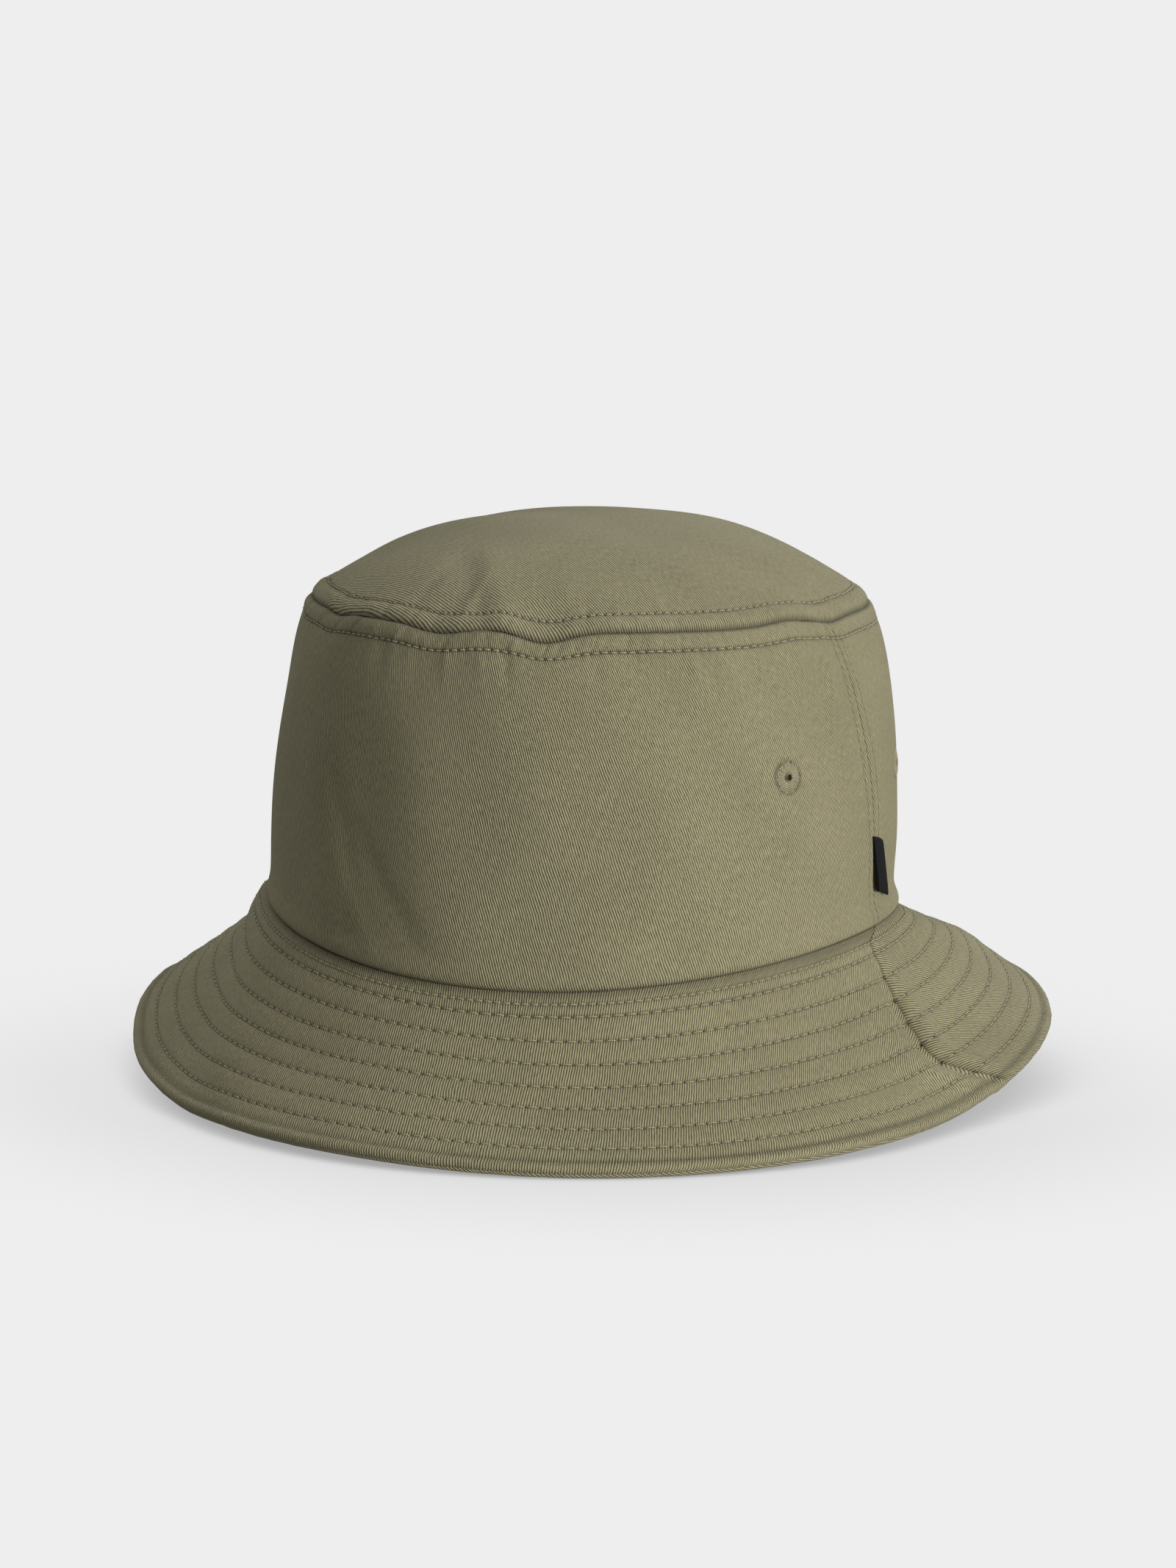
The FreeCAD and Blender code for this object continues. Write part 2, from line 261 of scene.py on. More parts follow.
def puckers(angle, count, seed, width, radius=BASE_HALF_LENGTH, weakest=-1.0):
    """Small folds at uneven places round a seam, of strengths from the weakest to 1."""
    draw = np.random.default_rng(seed)
    centres = (np.arange(count) + draw.uniform(-0.35, 0.35, count)) * 360.0 / count
    strengths = draw.uniform(weakest, 1.0, count)
    widths = width * draw.uniform(0.6, 1.5, count)
    total = 0.0 * angle
    for centre, strength, size in zip(centres, strengths, widths):
        total = total + strength * bell(arc_distance(angle, centre, radius), size)
    return total


def rolling(angle, station, seed, length, count=14):
    """Soft unevenness of hanging cloth, from about -1 to 1."""
    draw = np.random.default_rng(seed)
    total = 0.0 * angle
    for _ in range(count):
        waves_round = max(1, round(2.0 * math.pi * BASE_HALF_LENGTH / (length * draw.uniform(0.6, 2.0))))
        up = station * 2.0 * np.pi / (length * draw.uniform(0.8, 2.5))
        phase = np.radians(angle) * waves_round + up * draw.choice([-1, 1])
        total = total + np.sin(phase + draw.uniform(0.0, 2.0 * math.pi))
    return total / math.sqrt(count)


def drifting(x, y, seed, length, count=12):
    """Soft unevenness of cloth that lies nearly level, from about -1 to 1."""
    draw = np.random.default_rng(seed)
    total = 0.0 * x
    for _ in range(count):
        heading = draw.uniform(0.0, 2.0 * math.pi)
        wave = 2.0 * math.pi / (length * draw.uniform(0.6, 2.0))
        place = x * math.cos(heading) + y * math.sin(heading)
        total = total + np.sin(place * wave + draw.uniform(0.0, 2.0 * math.pi))
    return total / math.sqrt(count)


def fold(across, up, start, end, width):
    """1 along a straight line between two places of the cloth, fading out beside it and past its ends."""
    run = np.subtract(end, start)
    length = np.hypot(*run)
    share = ((across - start[0]) * run[0] + (up - start[1]) * run[1]) / length ** 2
    beside = ((across - start[0]) * run[1] - (up - start[1]) * run[0]) / length
    past = np.clip(np.abs(share - 0.5) - 0.5, 0.0, None) * length
    return bell(beside, width) * bell(past, 2.0 * width)


def seam_drop(angle):
    """How far the top seam sags below its even line where the cloth has slumped."""
    # Each sag: its angle, drop and width
    sags = ((-150, -0.5, 8), (-126, 1.1, 5), (-93, 2.0, 8), (-68, 3.0, 7), (-13, -1.2, 7), (2, 1.0, 5),
            (58, 1.6, 9), (95, -0.8, 10), (130, 1.8, 8), (164, 1.0, 7))
    return sum(drop * bell(turn_from(angle, centre), width) for centre, drop, width in sags)


# ---- relief of each panel
def side_lift(angle, height):
    """How far the crown's side stands off its smooth shape."""
    below_top = SIDE_HEIGHT - height
    lift = 0.45 * rolling(angle, height, 3, 60.0) * smooth(height, 0, 18) * smooth(below_top, 0, 16)
    # Seam allowance between the top seam and its row of stitches, gathered into small pleats
    slanted = angle + 0.45 * below_top
    lift += 0.45 * bell(below_top - 2.6, 2.0)
    lift += puckers(slanted, 60, 11, 1.7) * 0.46 * bell(below_top - 2.8, 2.4)
    lift -= puckers(slanted, 75, 14, 0.5, weakest=-0.6).clip(0.0) * 0.45 * bell(below_top - 2.6, 2.3)
    lift += puckers(angle, 70, 12, 1.6) * 0.16 * bell(below_top - 5.5, 5.0)
    lift += puckers(angle, 44, 13, 2.4) * 0.55 * bell(below_top - 8.5, 5.0)
    lift -= 0.75 * bell(below_top, 0.5)
    lift += needle_dents(angle * TIP_STITCHES / 360.0, below_top - TIP_ROW, 0.42, 0.5)
    # Side seams with a row of stitches each side
    for centre in (LEFT, RIGHT):
        beside = arc_distance(angle, centre)
        lift -= 0.30 * bell(beside, 0.45)
        lift += 0.16 * bell(np.abs(beside) - 1.8, 1.2)
        rows = needle_dents(height / UPRIGHT_PITCH, np.abs(beside) - SIDE_ROW, 0.16, 0.5)
        lift += rows * smooth(below_top, 4.0, 6.0)
    # Foot: the cloth swells over the brim and is tucked into the seam
    lift += 0.75 * bell(height - 3.4, 3.0)
    lift -= 1.9 * bell(height, 1.0)
    # Dimples round the eyelets
    for there, middle_height in EYELETS.values():
        away = np.hypot(arc_distance(angle, there), height - middle_height)
        lift -= 0.30 * bell(away, 6.5) + 0.22 * bell(away - EYELET_RADIUS, 0.7)
    # A soft dimple in front of the flag label, and drag lines from the top of the left seam forward
    ahead = arc_distance(angle, LEFT)
    lift -= 0.9 * bell(ahead + 17.0, 8.0) * bell(height - 11.0, 7.0)
    lift -= 0.5 * fold(ahead, height, (-13.0, 86.0), (-17.0, 66.0), 2.4)
    lift += 0.35 * fold(ahead, height, (-7.5, 86.0), (-11.0, 70.0), 2.2)
    lift += 0.3 * fold(ahead, height, (-20.0, 85.0), (-25.0, 70.0), 3.0)
    # Soft creases fall across the front of the side, on its right
    across = arc_distance(angle, FRONT)
    lift -= 0.5 * fold(across, height, (-37.0, 46.0), (-29.0, 29.0), 3.2)
    lift -= 0.4 * fold(across, height, (-25.0, 34.0), (-8.0, 14.0), 3.5)
    lift += 0.3 * fold(across, height, (-33.0, 24.0), (-22.0, 10.0), 4.0)
    # Behind the left seam the side is fuller at mid height and tucks in above the brim
    behind = bell(turn_from(angle, LEFT + 32.0), 26.0)
    fullness = 1.3 * bell(height - 45.0, 22.0) - 1.5 * bell(height - 10.0, 10.0)
    lift += behind * fullness * smooth(height, 0.5, 9.0)
    return lift


def tip_lift(angle, inset):
    """How far the tip stands off its smooth dome."""
    x, y = np.moveaxis(tip_point(angle, inset)[..., :2], -1, 0)
    lift = 0.5 * drifting(x, y, 5, 60.0) * smooth(inset, 4.0, 20.0)
    lift -= 1.3 * bell(np.hypot(x, y), 34.0)
    # Where the crown has slumped, one long dent and softer hollows run in from the rim
    dent_start, dent_end = tip_point(np.array([-101.0, -84.0]), np.array([26.0, 3.0]))[:, :2]
    lift -= 0.65 * fold(x, y, dent_start, dent_end, 4.5)
    lift += 0.35 * fold(x, y, dent_start + (7.0, 0.0), dent_end + (7.0, 0.0), 4.0)
    lift += 0.5 * bell(inset - 2.6, 2.0)
    lift += puckers(angle, 52, 11, 2.0) * 0.34 * bell(inset - 2.6, 2.4)
    lift -= puckers(angle, 60, 24, 0.6, weakest=-0.6).clip(0.0) * 0.35 * bell(inset - 2.6, 2.3)
    lift += puckers(angle, 60, 22, 2.2) * 0.34 * bell(inset - 6.5, 4.5)
    lift += puckers(angle, 24, 23, 4.5) * 0.45 * bell(inset - 12.0, 9.0)
    lift -= 0.7 * bell(inset, 0.5)
    lift += needle_dents(angle * TIP_STITCHES / 360.0, inset - TIP_ROW, 0.40, 0.5)
    return lift


def quilting(angle, reach, puff, groove):
    """Padded ridges between rows of stitches, and the grooves that the rows pull in."""
    first, last = BRIM_ROW_REACHES[0], BRIM_ROW_REACHES[-1]
    between = np.sin(np.pi * (reach - first) / BRIM_ROW_PITCH) ** 2
    inside = (reach > first) & (reach < last)
    edge = bell(reach - (last + BRIM_WIDTH) / 2.0, 2.6) + 0.6 * bell(reach - first / 2.0, 2.2)
    lift = puff * np.where(inside, between, edge)
    for row_reach, count in zip(BRIM_ROW_REACHES, BRIM_STITCHES):
        lift = lift + needle_dents(angle * count / 360.0, reach - row_reach, groove, 0.42)
    return lift


def brim_stitch_count(reach):
    angle = np.linspace(0.0, 360.0, 721)
    path = brim_point(angle, reach + 0.0 * angle)
    return int(round(np.linalg.norm(np.diff(path, axis=0), axis=1).sum() / BRIM_PITCH))


BRIM_STITCHES = [brim_stitch_count(reach) for reach in BRIM_ROW_REACHES]


def beside_seam(angle, reach, centre):
    """Length along the brim from one of its side seams."""
    return np.radians(turn_from(angle, centre)) * (BASE_HALF_WIDTH + 0.8 * reach)


def brim_folds(angle, reach):
    """Broad folds in the whole brim, which grow towards the hem."""
    share = np.clip(reach, 0.0, None) / BRIM_WIDTH
    grow = smooth(share, 0.0, 0.45) * (0.55 + 0.45 * share)
    lift = 0.0 * angle
    # At each seam the cloth dips in front of the seam, and the back half rides up on the seam allowance
    for centre, strength in ((LEFT, 1.0), (RIGHT, -0.35)):
        beside = beside_seam(angle, reach, centre) * np.sign(strength)
        seam_folds = 2.6 * bell(beside + 13.0, 8.0) - 3.9 * bell(beside + 2.4, 3.6)
        seam_folds += 2.0 * bell(beside - 4.0, 4.0)
        lift += abs(strength) * seam_folds * grow * (1.0 - 0.62 * smooth(share, 0.72, 1.0))
    # A long soft valley on the right side and a ridge on the left, slanting out towards the back
    lift -= 1.8 * fold(turn_from(angle, RIGHT) * 1.9, reach, (49.4, 9.5), (106.4, 47.0), 9.0) * grow
    lift += 1.3 * fold(turn_from(angle, LEFT) * 1.9, reach, (38.95, 5.5), (95.0, 37.0), 8.0)
    # On the right the root of the brim rises to meet the crown in one soft curve
    lift += 3.0 * bell(turn_from(angle, RIGHT + 20.0), 15.0) * bell(reach - 4.0, 9.0)
    # The front half curls down a little over its last rows
    lift -= 0.8 * smooth(reach, 40.0, 60.0) * smooth(-sind(angle), -0.2, 0.6)
    return lift


def hem_swell(reach):
    """Share of the extra thickness near the hem, where the seam allowances lie between the layers."""
    return smooth(reach, BRIM_WIDTH - 4.5, BRIM_WIDTH - 1.5)


def brim_lift(angle, reach):
    """How far the brim's upper face stands off its smooth shape."""
    lift = brim_folds(angle, reach)
    lift += quilting(angle, reach, 0.22, 0.42)
    for band in range(BRIM_ROWS + 1):
        middle = FIRST_BRIM_ROW + (band - 0.5) * BRIM_ROW_PITCH
        ripples = puckers(angle, 52, 40 + band, 2.4, BASE_HALF_LENGTH + 0.7 * middle)
        lift += ripples * 0.15 * bell(reach - middle, 2.6)
    lift += needle_dents(angle * FOOT_STITCHES / 360.0, reach - FOOT_ROW, 0.25, 0.7)
    for centre in (LEFT, RIGHT):
        lift -= 0.32 * bell(beside_seam(angle, reach, centre), 0.5)
    # A dip just inside the hem's roll
    lift -= 0.55 * bell(reach - (BRIM_WIDTH - 3.6), 1.2)
    return lift + HEM_RISE * hem_swell(reach)


def under_lift(angle, reach):
    """How far the brim's lower face stands proud of its smooth shape, downward."""
    lift = quilting(angle, reach, 0.22, 0.30)
    for centre in (LEFT, RIGHT):
        lift -= 0.32 * bell(beside_seam(angle, reach, centre), 0.5)
    return lift + HEM_SWELL * hem_swell(reach)


def side_painted_shade(angle, height):
    """How much painted shade darkens the side's colour in its creases, rows of stitches, seams and round the
    eyelets, from 0 to 1.
    """
    below_top = SIDE_HEIGHT - height
    dark = 0.60 * bell(below_top - TIP_ROW, 0.5) + 0.60 * bell(below_top, 0.7) + 0.42 * bell(height, 1.3)
    for centre in (LEFT, RIGHT):
        beside = arc_distance(angle, centre)
        dark += 0.22 * bell(np.abs(beside) - SIDE_ROW, 0.45) + 0.25 * bell(beside, 0.4)
    # Painted shade in the groove round the rim of each eyelet
    for there, middle_height in EYELETS.values():
        away = np.hypot(arc_distance(angle, there), height - middle_height)
        dark += 0.5 * bell(away - EYELET_RADIUS - 0.1, 0.55)
    return dark


# Painted shade in the tip's row of stitches and along its seam, from 0 to 1
def tip_painted_shade(angle, inset):
    return 0.60 * bell(inset - TIP_ROW, 0.5) + 0.60 * bell(inset, 0.7)


# Painted shade at the brim's foot row, its root, the dip inside the hem, its rows of stitches and needle
# holes, and its seams, from 0 to 1
def brim_painted_shade(angle, reach):
    dark = 0.35 * bell(reach - FOOT_ROW, 0.6) + 0.3 * bell(reach, 1.2)
    dark += 0.35 * bell(reach - (BRIM_WIDTH - 3.4), 0.9)
    for row_reach, count in zip(BRIM_ROW_REACHES, BRIM_STITCHES):
        holes = np.cos(np.pi * angle * count / 360.0) ** 6
        dark += bell(reach - row_reach, 0.42) * (0.48 + 0.16 * holes)
    for centre in (LEFT, RIGHT):
        dark += 0.3 * bell(beside_seam(angle, reach, centre), 0.5)
    return dark


def seam_bend(angle, reach):
    """The left seam of the brim runs a little ahead of its even line, and swings back at the hem."""
    shift = -4.2 + 9.5 * smooth(reach, 36.0, 58.0)
    return angle + shift * bell(turn_from(angle, LEFT), 30.0) * smooth(reach, -1.0, 3.0)


def bent_brim(angle, reach):
    """The brim's smooth upper face, with its left seam bent."""
    return brim_point(seam_bend(angle, reach), reach)


def raised(surface, angle, station, lift, sag=0.0, side=1.0):
    """Points at a lift off a smooth surface, let straight down by a sag, and the directions they look."""
    out = side * normals(surface, angle, station)
    points = surface(angle, station) + out * lift[..., None]
    points[..., 2] -= sag
    return points, out


def side_sag(angle, height):
    return seam_drop(angle) * bell(SIDE_HEIGHT - height, 9.0)


def tip_sag(angle, inset):
    """The tip sags with its seam, and its edge turns down to meet the side's."""
    return seam_drop(angle) * bell(inset, 9.0) + 0.9 * CLOTH * bell(inset, 1.3)


def side_skin(angle, height, extra=0.0):
    """Points on the crown's outer face, and the directions out of it."""
    return raised(side_point, angle, height, side_lift(angle, height) + extra, side_sag(angle, height))


def side_lining(angle, height, depth=CLOTH):
    """Points on the crown's inner face, and the directions into the hat."""
    lift = side_lift(angle, height)
    # Behind the sweatband the lining keeps an even line, and gives way only to dimples
    lift = np.where(lift < 0.0, lift, lift * smooth(height, BAND_HEIGHT - 6.0, BAND_HEIGHT + 4.0))
    points, out = raised(side_point, angle, height, lift - depth, side_sag(angle, height))
    return points, -out


def tip_skin(angle, inset, extra=0.0):
    return raised(tip_point, angle, inset, tip_lift(angle, inset) + extra, tip_sag(angle, inset))


def brim_skin(angle, reach, extra=0.0):
    return raised(bent_brim, angle, reach, brim_lift(angle, reach) + extra, side=-1.0)


def inside_brim(depth):
    """A face between the brim's layers, at a depth below the upper face."""
    def face(angle, reach):
        return raised(bent_brim, angle, reach, depth - brim_folds(angle, reach))
    return face


def under_skin(angle, reach, extra=0.0):
    return inside_brim(BRIM_DEPTH + under_lift(angle, reach) + extra)(angle, reach)


# ---- mesh helpers
def link_object(name, data):
    """A new object in the scene."""
    thing = bpy.data.objects.new(name, data)
    bpy.context.scene.collection.objects.link(thing)
    return thing


def to_frame(points):
    return (points + MIDDLE) * MM


def add_piece(name, points, faces, uvs, material, body="hat", dark=None):
    """The piece that stands for the CAD node of its name, with a texture place for each point."""
    points = np.asarray(points, float).reshape(-1, 3)
    mesh = bpy.data.meshes.new(name)
    mesh.from_pydata(to_frame(points).tolist(), [], [list(face) for face in faces])
    mesh.polygons.foreach_set("use_smooth", np.ones(len(mesh.polygons), bool))
    corner = np.zeros(len(mesh.loops), np.int32)
    mesh.loops.foreach_get("vertex_index", corner)
    layer = mesh.uv_layers.new(name="cloth")
    layer.data.foreach_set("uv", np.asarray(uvs, np.float32).reshape(-1, 2)[corner].ravel())
    # The 'dark' attribute carries painted shade, which the twill multiplies into its colour
    if dark is not None:
        attribute = mesh.attributes.new("dark", "FLOAT", "POINT")
        attribute.data.foreach_set("value", np.asarray(dark, np.float32).ravel())
    mesh.materials.append(material)
    mesh.validate()
    mesh.update()
    piece = link_object(name, mesh)
    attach(piece, body)
    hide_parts(name)
    return piece


def grid_faces(columns, rows, wrap_columns=False, wrap_rows=False, first=0):
    """Quads between neighbouring points of a grid whose points are counted row by row within a column."""
    across = np.arange(columns if wrap_columns else columns - 1)
    up = np.arange(rows if wrap_rows else rows - 1)
    column, row = [side.ravel() for side in np.meshgrid(across, up, indexing="ij")]
    here = column * rows
    after = (column + 1) % columns * rows
    next_row = (row + 1) % rows
    return np.stack([here + row, after + row, after + next_row, here + next_row], -1) + first


def end_cap(profile, first):
    """Triangles that close a thin profile, each joining its two sides where they are nearest."""
    faces = []
    low = 0
    high = len(profile) - 1
    while high - low > 1:
        ahead = np.linalg.norm(profile[low + 1] - profile[high])
        behind = np.linalg.norm(profile[low] - profile[high - 1])
        if ahead < behind:
            faces.append([first + low, first + low + 1, first + high])
            low += 1
        else:
            faces.append([first + low, first + high - 1, first + high])
            high -= 1
    return faces


def loft(profiles):
    """Faces of a closed skin through closed profiles, given as columns of points."""
    columns, rows = profiles.shape[:2]
    faces = grid_faces(columns, rows, False, True).tolist()
    faces += end_cap(profiles[0], 0)
    faces += [face[::-1] for face in end_cap(profiles[-1], (columns - 1) * rows)]
    return faces


def outward_faces(points, faces):
    """The same faces, turned so that they all look out of the closed skin."""
    quads = np.array([face for face in faces if len(face) == 4])
    a, b, c, d = [points.reshape(-1, 3)[quads[:, i]] for i in range(4)]
    volume = (np.cross(a, b) * c).sum() + (np.cross(a, c) * d).sum()
    return [face[::-1] for face in faces] if volume < 0 else faces


def dense_about(start, end, places, coarse, fine, reach=1.4):
    """Stations from start to end, closer together near the given places."""
    stations = [start]
    while stations[-1] < end - 1e-6:
        here = stations[-1]
        near = min(abs(here - place) for place in places)
        step = fine if near < reach else coarse
        stations.append(min(end, here + step))
    return np.array(stations)


def turned(x, y, degrees):
    """Cloth coordinates: first across the twill ribs, then along them."""
    return np.stack([x * cosd(degrees) + y * sind(degrees), -x * sind(degrees) + y * cosd(degrees)], -1)


def shell_piece(name, columns, face_stations, back_stations, face, back, cloth, material,
                edge=None, dark=None):
    """A panel of cloth: a fine outer face, any rolled edge, and a back face, closed all round."""
    angle, station = np.meshgrid(columns, face_stations, indexing="ij")
    front_points, _ = face(angle, station)
    parts = [front_points]
    places = [cloth(angle, station)]
    if edge is not None:
        edge_points, edge_cloth = edge(columns)
        parts.append(edge_points)
        places.append(edge_cloth)
    back_angle, back_station = np.meshgrid(columns, back_stations, indexing="ij")
    back_points, _ = back(back_angle, back_station)
    parts.append(back_points)
    places.append(cloth(back_angle, back_station))
    profiles = np.concatenate(parts, 1)
    faces = outward_faces(profiles, loft(profiles))
    # Painted shade on the outer face only; the rolled edge and the back get none
    shadows = np.zeros(profiles.shape[:2])
    if dark is not None:
        shadows[:, :len(face_stations)] = dark(angle, station)
    return add_piece(name, profiles, faces, np.concatenate(places, 1), material, dark=shadows)


# ---- materials
def linear(red, green, blue):
    """A colour from its 0 to 255 display values."""
    return tuple(((c / 255.0 + 0.055) / 1.055) ** 2.4 for c in (red, green, blue)) + (1.0,)


class Nodes:
    """A node tree, with short ways to add to it."""

    def __init__(self, owner):
        owner.use_nodes = True
        self.tree = owner.node_tree

    def put(self, value, socket):
        if isinstance(value, bpy.types.NodeSocket):
            self.tree.links.new(value, socket)
        else:
            socket.default_value = value

    def add(self, kind, inputs, **settings):
        """A node with its settings made, and values or other nodes' outputs put into its inputs."""
        node = self.tree.nodes.new("ShaderNode" + kind)
        for key, value in settings.items():
            setattr(node, key, value)
        for key, value in inputs.items():
            self.put(value, node.inputs[key])
        return node

    def math(self, operation, *values):
        return self.add("Math", dict(enumerate(values)), operation=operation).outputs[0]

    def wave(self, turns):
        """1 at each whole turn and 0 half way between."""
        swing = self.math("COSINE", self.math("MULTIPLY", turns, 2.0 * math.pi))
        return self.math("MULTIPLY_ADD", swing, 0.5, 0.5)

    def swing(self, noise, size):
        """Noise brought to lie about 0."""
        return self.math("MULTIPLY", self.math("SUBTRACT", noise, 0.5), size)

    def mix(self, share, first, second):
        return self.add("Mix", {0: share, 6: first, 7: second}, data_type="RGBA").outputs[2]

    def ramp(self, value, low, high, start=0.0, end=1.0):
        return self.add("MapRange", {0: value, 1: low, 2: high, 3: start, 4: end}).outputs[0]

    def noise(self, place, scale, detail=2.0, roughness=0.5, stretch=None):
        if stretch:
            place = self.add("Mapping", {0: place, "Scale": stretch}).outputs[0]
        inputs = {"Vector": place, "Scale": scale, "Detail": detail, "Roughness": roughness}
        return self.add("TexNoise", inputs).outputs[0]


class Cloth(Nodes):
    """A material on a piece's texture place, which has a first and a second length in millimetres."""

    def __init__(self, name, roughness, specular, sheen, tint=(1, 1, 1, 1), sheen_roughness=0.5):
        self.material = bpy.data.materials.new(name)
        super().__init__(self.material)
        self.shader = self.tree.nodes["Principled BSDF"]
        self.look("Roughness", roughness)
        self.look("Specular IOR Level", specular)
        self.look("Sheen Weight", sheen)
        self.look("Sheen Tint", tint)
        self.look("Sheen Roughness", sheen_roughness)
        self.place = self.add("UVMap", {}, uv_map="cloth").outputs[0]
        self.first, self.second = self.add("SeparateXYZ", {0: self.place}).outputs[:2]

    def look(self, socket, value):
        self.put(value, self.shader.inputs[socket])

    def relief(self, height, size):
        """Relief that is a size in millimetres high where the height is 1."""
        inputs = {"Strength": 1.0, "Distance": MM, "Height": self.math("MULTIPLY", height, size)}
        self.look("Normal", self.add("Bump", inputs).outputs[0])

    def finish(self, share, dark, light):
        """Colour by share, and the finished material."""
        self.look("Base Color", self.mix(self.ramp(share, 0.1, 0.9), dark, light))
        return self.material


def twill(name, crest, valley, rib=0.70, float_length=0.42, relief=0.15):
    """Cotton twill: rounded diagonal ribs of short yarn floats."""
    cloth = Cloth(name, 0.82, 0.22, 0.15, (0.80, 0.80, 0.62, 1), 0.45)
    wander = cloth.swing(cloth.noise(cloth.place, 0.08), 1.2)
    jitter = cloth.swing(cloth.noise(cloth.place, 0.9, 1.0), 0.14)
    across = cloth.math("ADD", cloth.math("ADD", cloth.first, wander), jitter)
    phase = cloth.math("DIVIDE", across, rib)
    rib_height = cloth.math("POWER", cloth.wave(phase), 0.8)
    # Floats: each rib is a row of slanting yarn segments
    along = cloth.math("DIVIDE", cloth.second, float_length)
    float_height = cloth.wave(cloth.math("ADD", along, cloth.math("MULTIPLY", phase, 0.5)))
    yarn = cloth.noise(cloth.place, 1.0, 2.0, 0.6, (2.6, 0.5, 1.0))
    fuzz = cloth.noise(cloth.place, 6.0, 2.0, 0.7)
    height = cloth.math("MULTIPLY_ADD", float_height, 0.08, rib_height)
    height = cloth.math("MULTIPLY_ADD", fuzz, 0.35, height)
    height = cloth.math("MULTIPLY_ADD", yarn, 0.50, height)
    cloth.relief(height, relief)
    # Colour: painted light on the rib crests and painted shade in their valleys, with uneven yarn tone
    share = cloth.math("MULTIPLY_ADD", float_height, 0.06, cloth.math("MULTIPLY", rib_height, 0.92))
    share = cloth.math("ADD", share, cloth.swing(yarn, 1.1))
    colour = cloth.mix(cloth.ramp(share, 0.0, 1.0), valley, crest)
    patches = cloth.noise(cloth.place, 0.035, 3.0, 0.6)
    # Painted shade in creases, rows and seams, from each piece's 'dark' attribute, scales the colour together
    # with uneven tone patches
    dark = cloth.add("Attribute", {}, attribute_name="dark").outputs["Fac"]
    painted_shade_factor = cloth.math("SUBTRACT", 1.0, dark)
    dye_and_painted_shade = cloth.math("MULTIPLY", cloth.ramp(patches, 0.3, 0.7, 0.93, 1.05), painted_shade_factor)
    cloth.look("Base Color", cloth.add("VectorMath", {0: colour, 3: dye_and_painted_shade}, operation="SCALE").outputs[0])
    cloth.look("Roughness", cloth.ramp(rib_height, 0.0, 1.0, 0.92, 0.78))
    return cloth.material


def plain_weave(name, light, dark, pitch=0.45, relief=0.10, sheen=0.1):
    cloth = Cloth(name, 0.85, 0.2, sheen)
    warp = cloth.math("SINE", cloth.math("MULTIPLY", cloth.first, math.pi / pitch))
    weft = cloth.math("SINE", cloth.math("MULTIPLY", cloth.second, math.pi / pitch))
    crossings = cloth.math("ABSOLUTE", cloth.math("MULTIPLY", warp, weft))
    fuzz = cloth.noise(cloth.place, 5.0, 3.0, 0.6)
    uneven = cloth.noise(cloth.place, 0.6, 3.0, 0.6, (0.4, 3.0, 1.0))
    height = cloth.math("MULTIPLY_ADD", fuzz, 0.4, crossings)
    cloth.relief(height, relief)
    # Colour mixes uneven yarn tone with painted shade where the weave is low between its crossings
    share = cloth.math("MULTIPLY_ADD", uneven, 0.5, cloth.math("MULTIPLY", height, 0.5))
    return cloth.finish(share, dark, light)


def thread_material(name, light, dark, sheen=0.15):
    """Twisted sewing thread: texture place is millimetres along it, then share of a turn round it."""
    cloth = Cloth(name, 0.62, 0.35, sheen)
    ply = cloth.wave(cloth.math("ADD", cloth.second, cloth.math("DIVIDE", cloth.first, 0.55)))
    hair = cloth.noise(cloth.place, 4.0, 2.0, 0.6)
    cloth.relief(cloth.math("MULTIPLY_ADD", hair, 0.4, ply), 0.05)
    # Colour mixes fibre noise with painted shade in the grooves between the plies
    share = cloth.math("MULTIPLY_ADD", hair, 0.5, cloth.math("MULTIPLY", ply, 0.6))
    return cloth.finish(share, dark, light)


# The light crest colour carries painted light and the dark valley colour painted shade
olive = twill("olive_twill", linear(173, 166, 132), linear(88, 83, 60))
band_cloth = plain_weave("olive_band", linear(112, 108, 82), linear(70, 67, 48))
tape_cloth = plain_weave("olive_tape", linear(104, 101, 78), linear(62, 60, 44), 0.35)
canvas = plain_weave("stiff_canvas", linear(190, 186, 170), linear(150, 146, 130), 0.6)
thread = thread_material("olive_thread", linear(184, 177, 143), linear(112, 106, 78))
eyelet_thread = thread_material("eyelet_thread", linear(180, 173, 138), linear(84, 78, 52), 0.2)
flag_cloth = plain_weave("black_label", linear(13, 13, 14), linear(3, 3, 4), 0.3, 0.08, 0.02)
white_label = plain_weave("white_label", linear(226, 224, 216), linear(196, 193, 184), 0.22, 0.04, 0.3)
black_label = plain_weave("size_label", linear(34, 34, 35), linear(14, 14, 15), 0.25, 0.05, 0.2)


# ---- cloth grain
def side_cloth(angle, height):
    """Ribs fall to the right across the crown's side, about 17 degrees off upright."""
    return turned(np.radians(angle) * BASE_HALF_LENGTH, height, 17.0)


def tip_cloth(angle, inset):
    point = tip_point(angle, inset)
    return turned(point[..., 0], point[..., 1], 62.0)


def brim_cloth(middle, lean):
    """Each half of the brim is cut in one piece, so its ribs keep one direction in the flat."""
    slant = math.cos(math.radians(50.0))
    inner = BASE_HALF_LENGTH / slant

    def place(angle, reach):
        spin = turn_from(angle, middle) * slant
        radius = inner + reach
        return turned(radius * sind(spin), -radius * cosd(spin), lean)
    return place


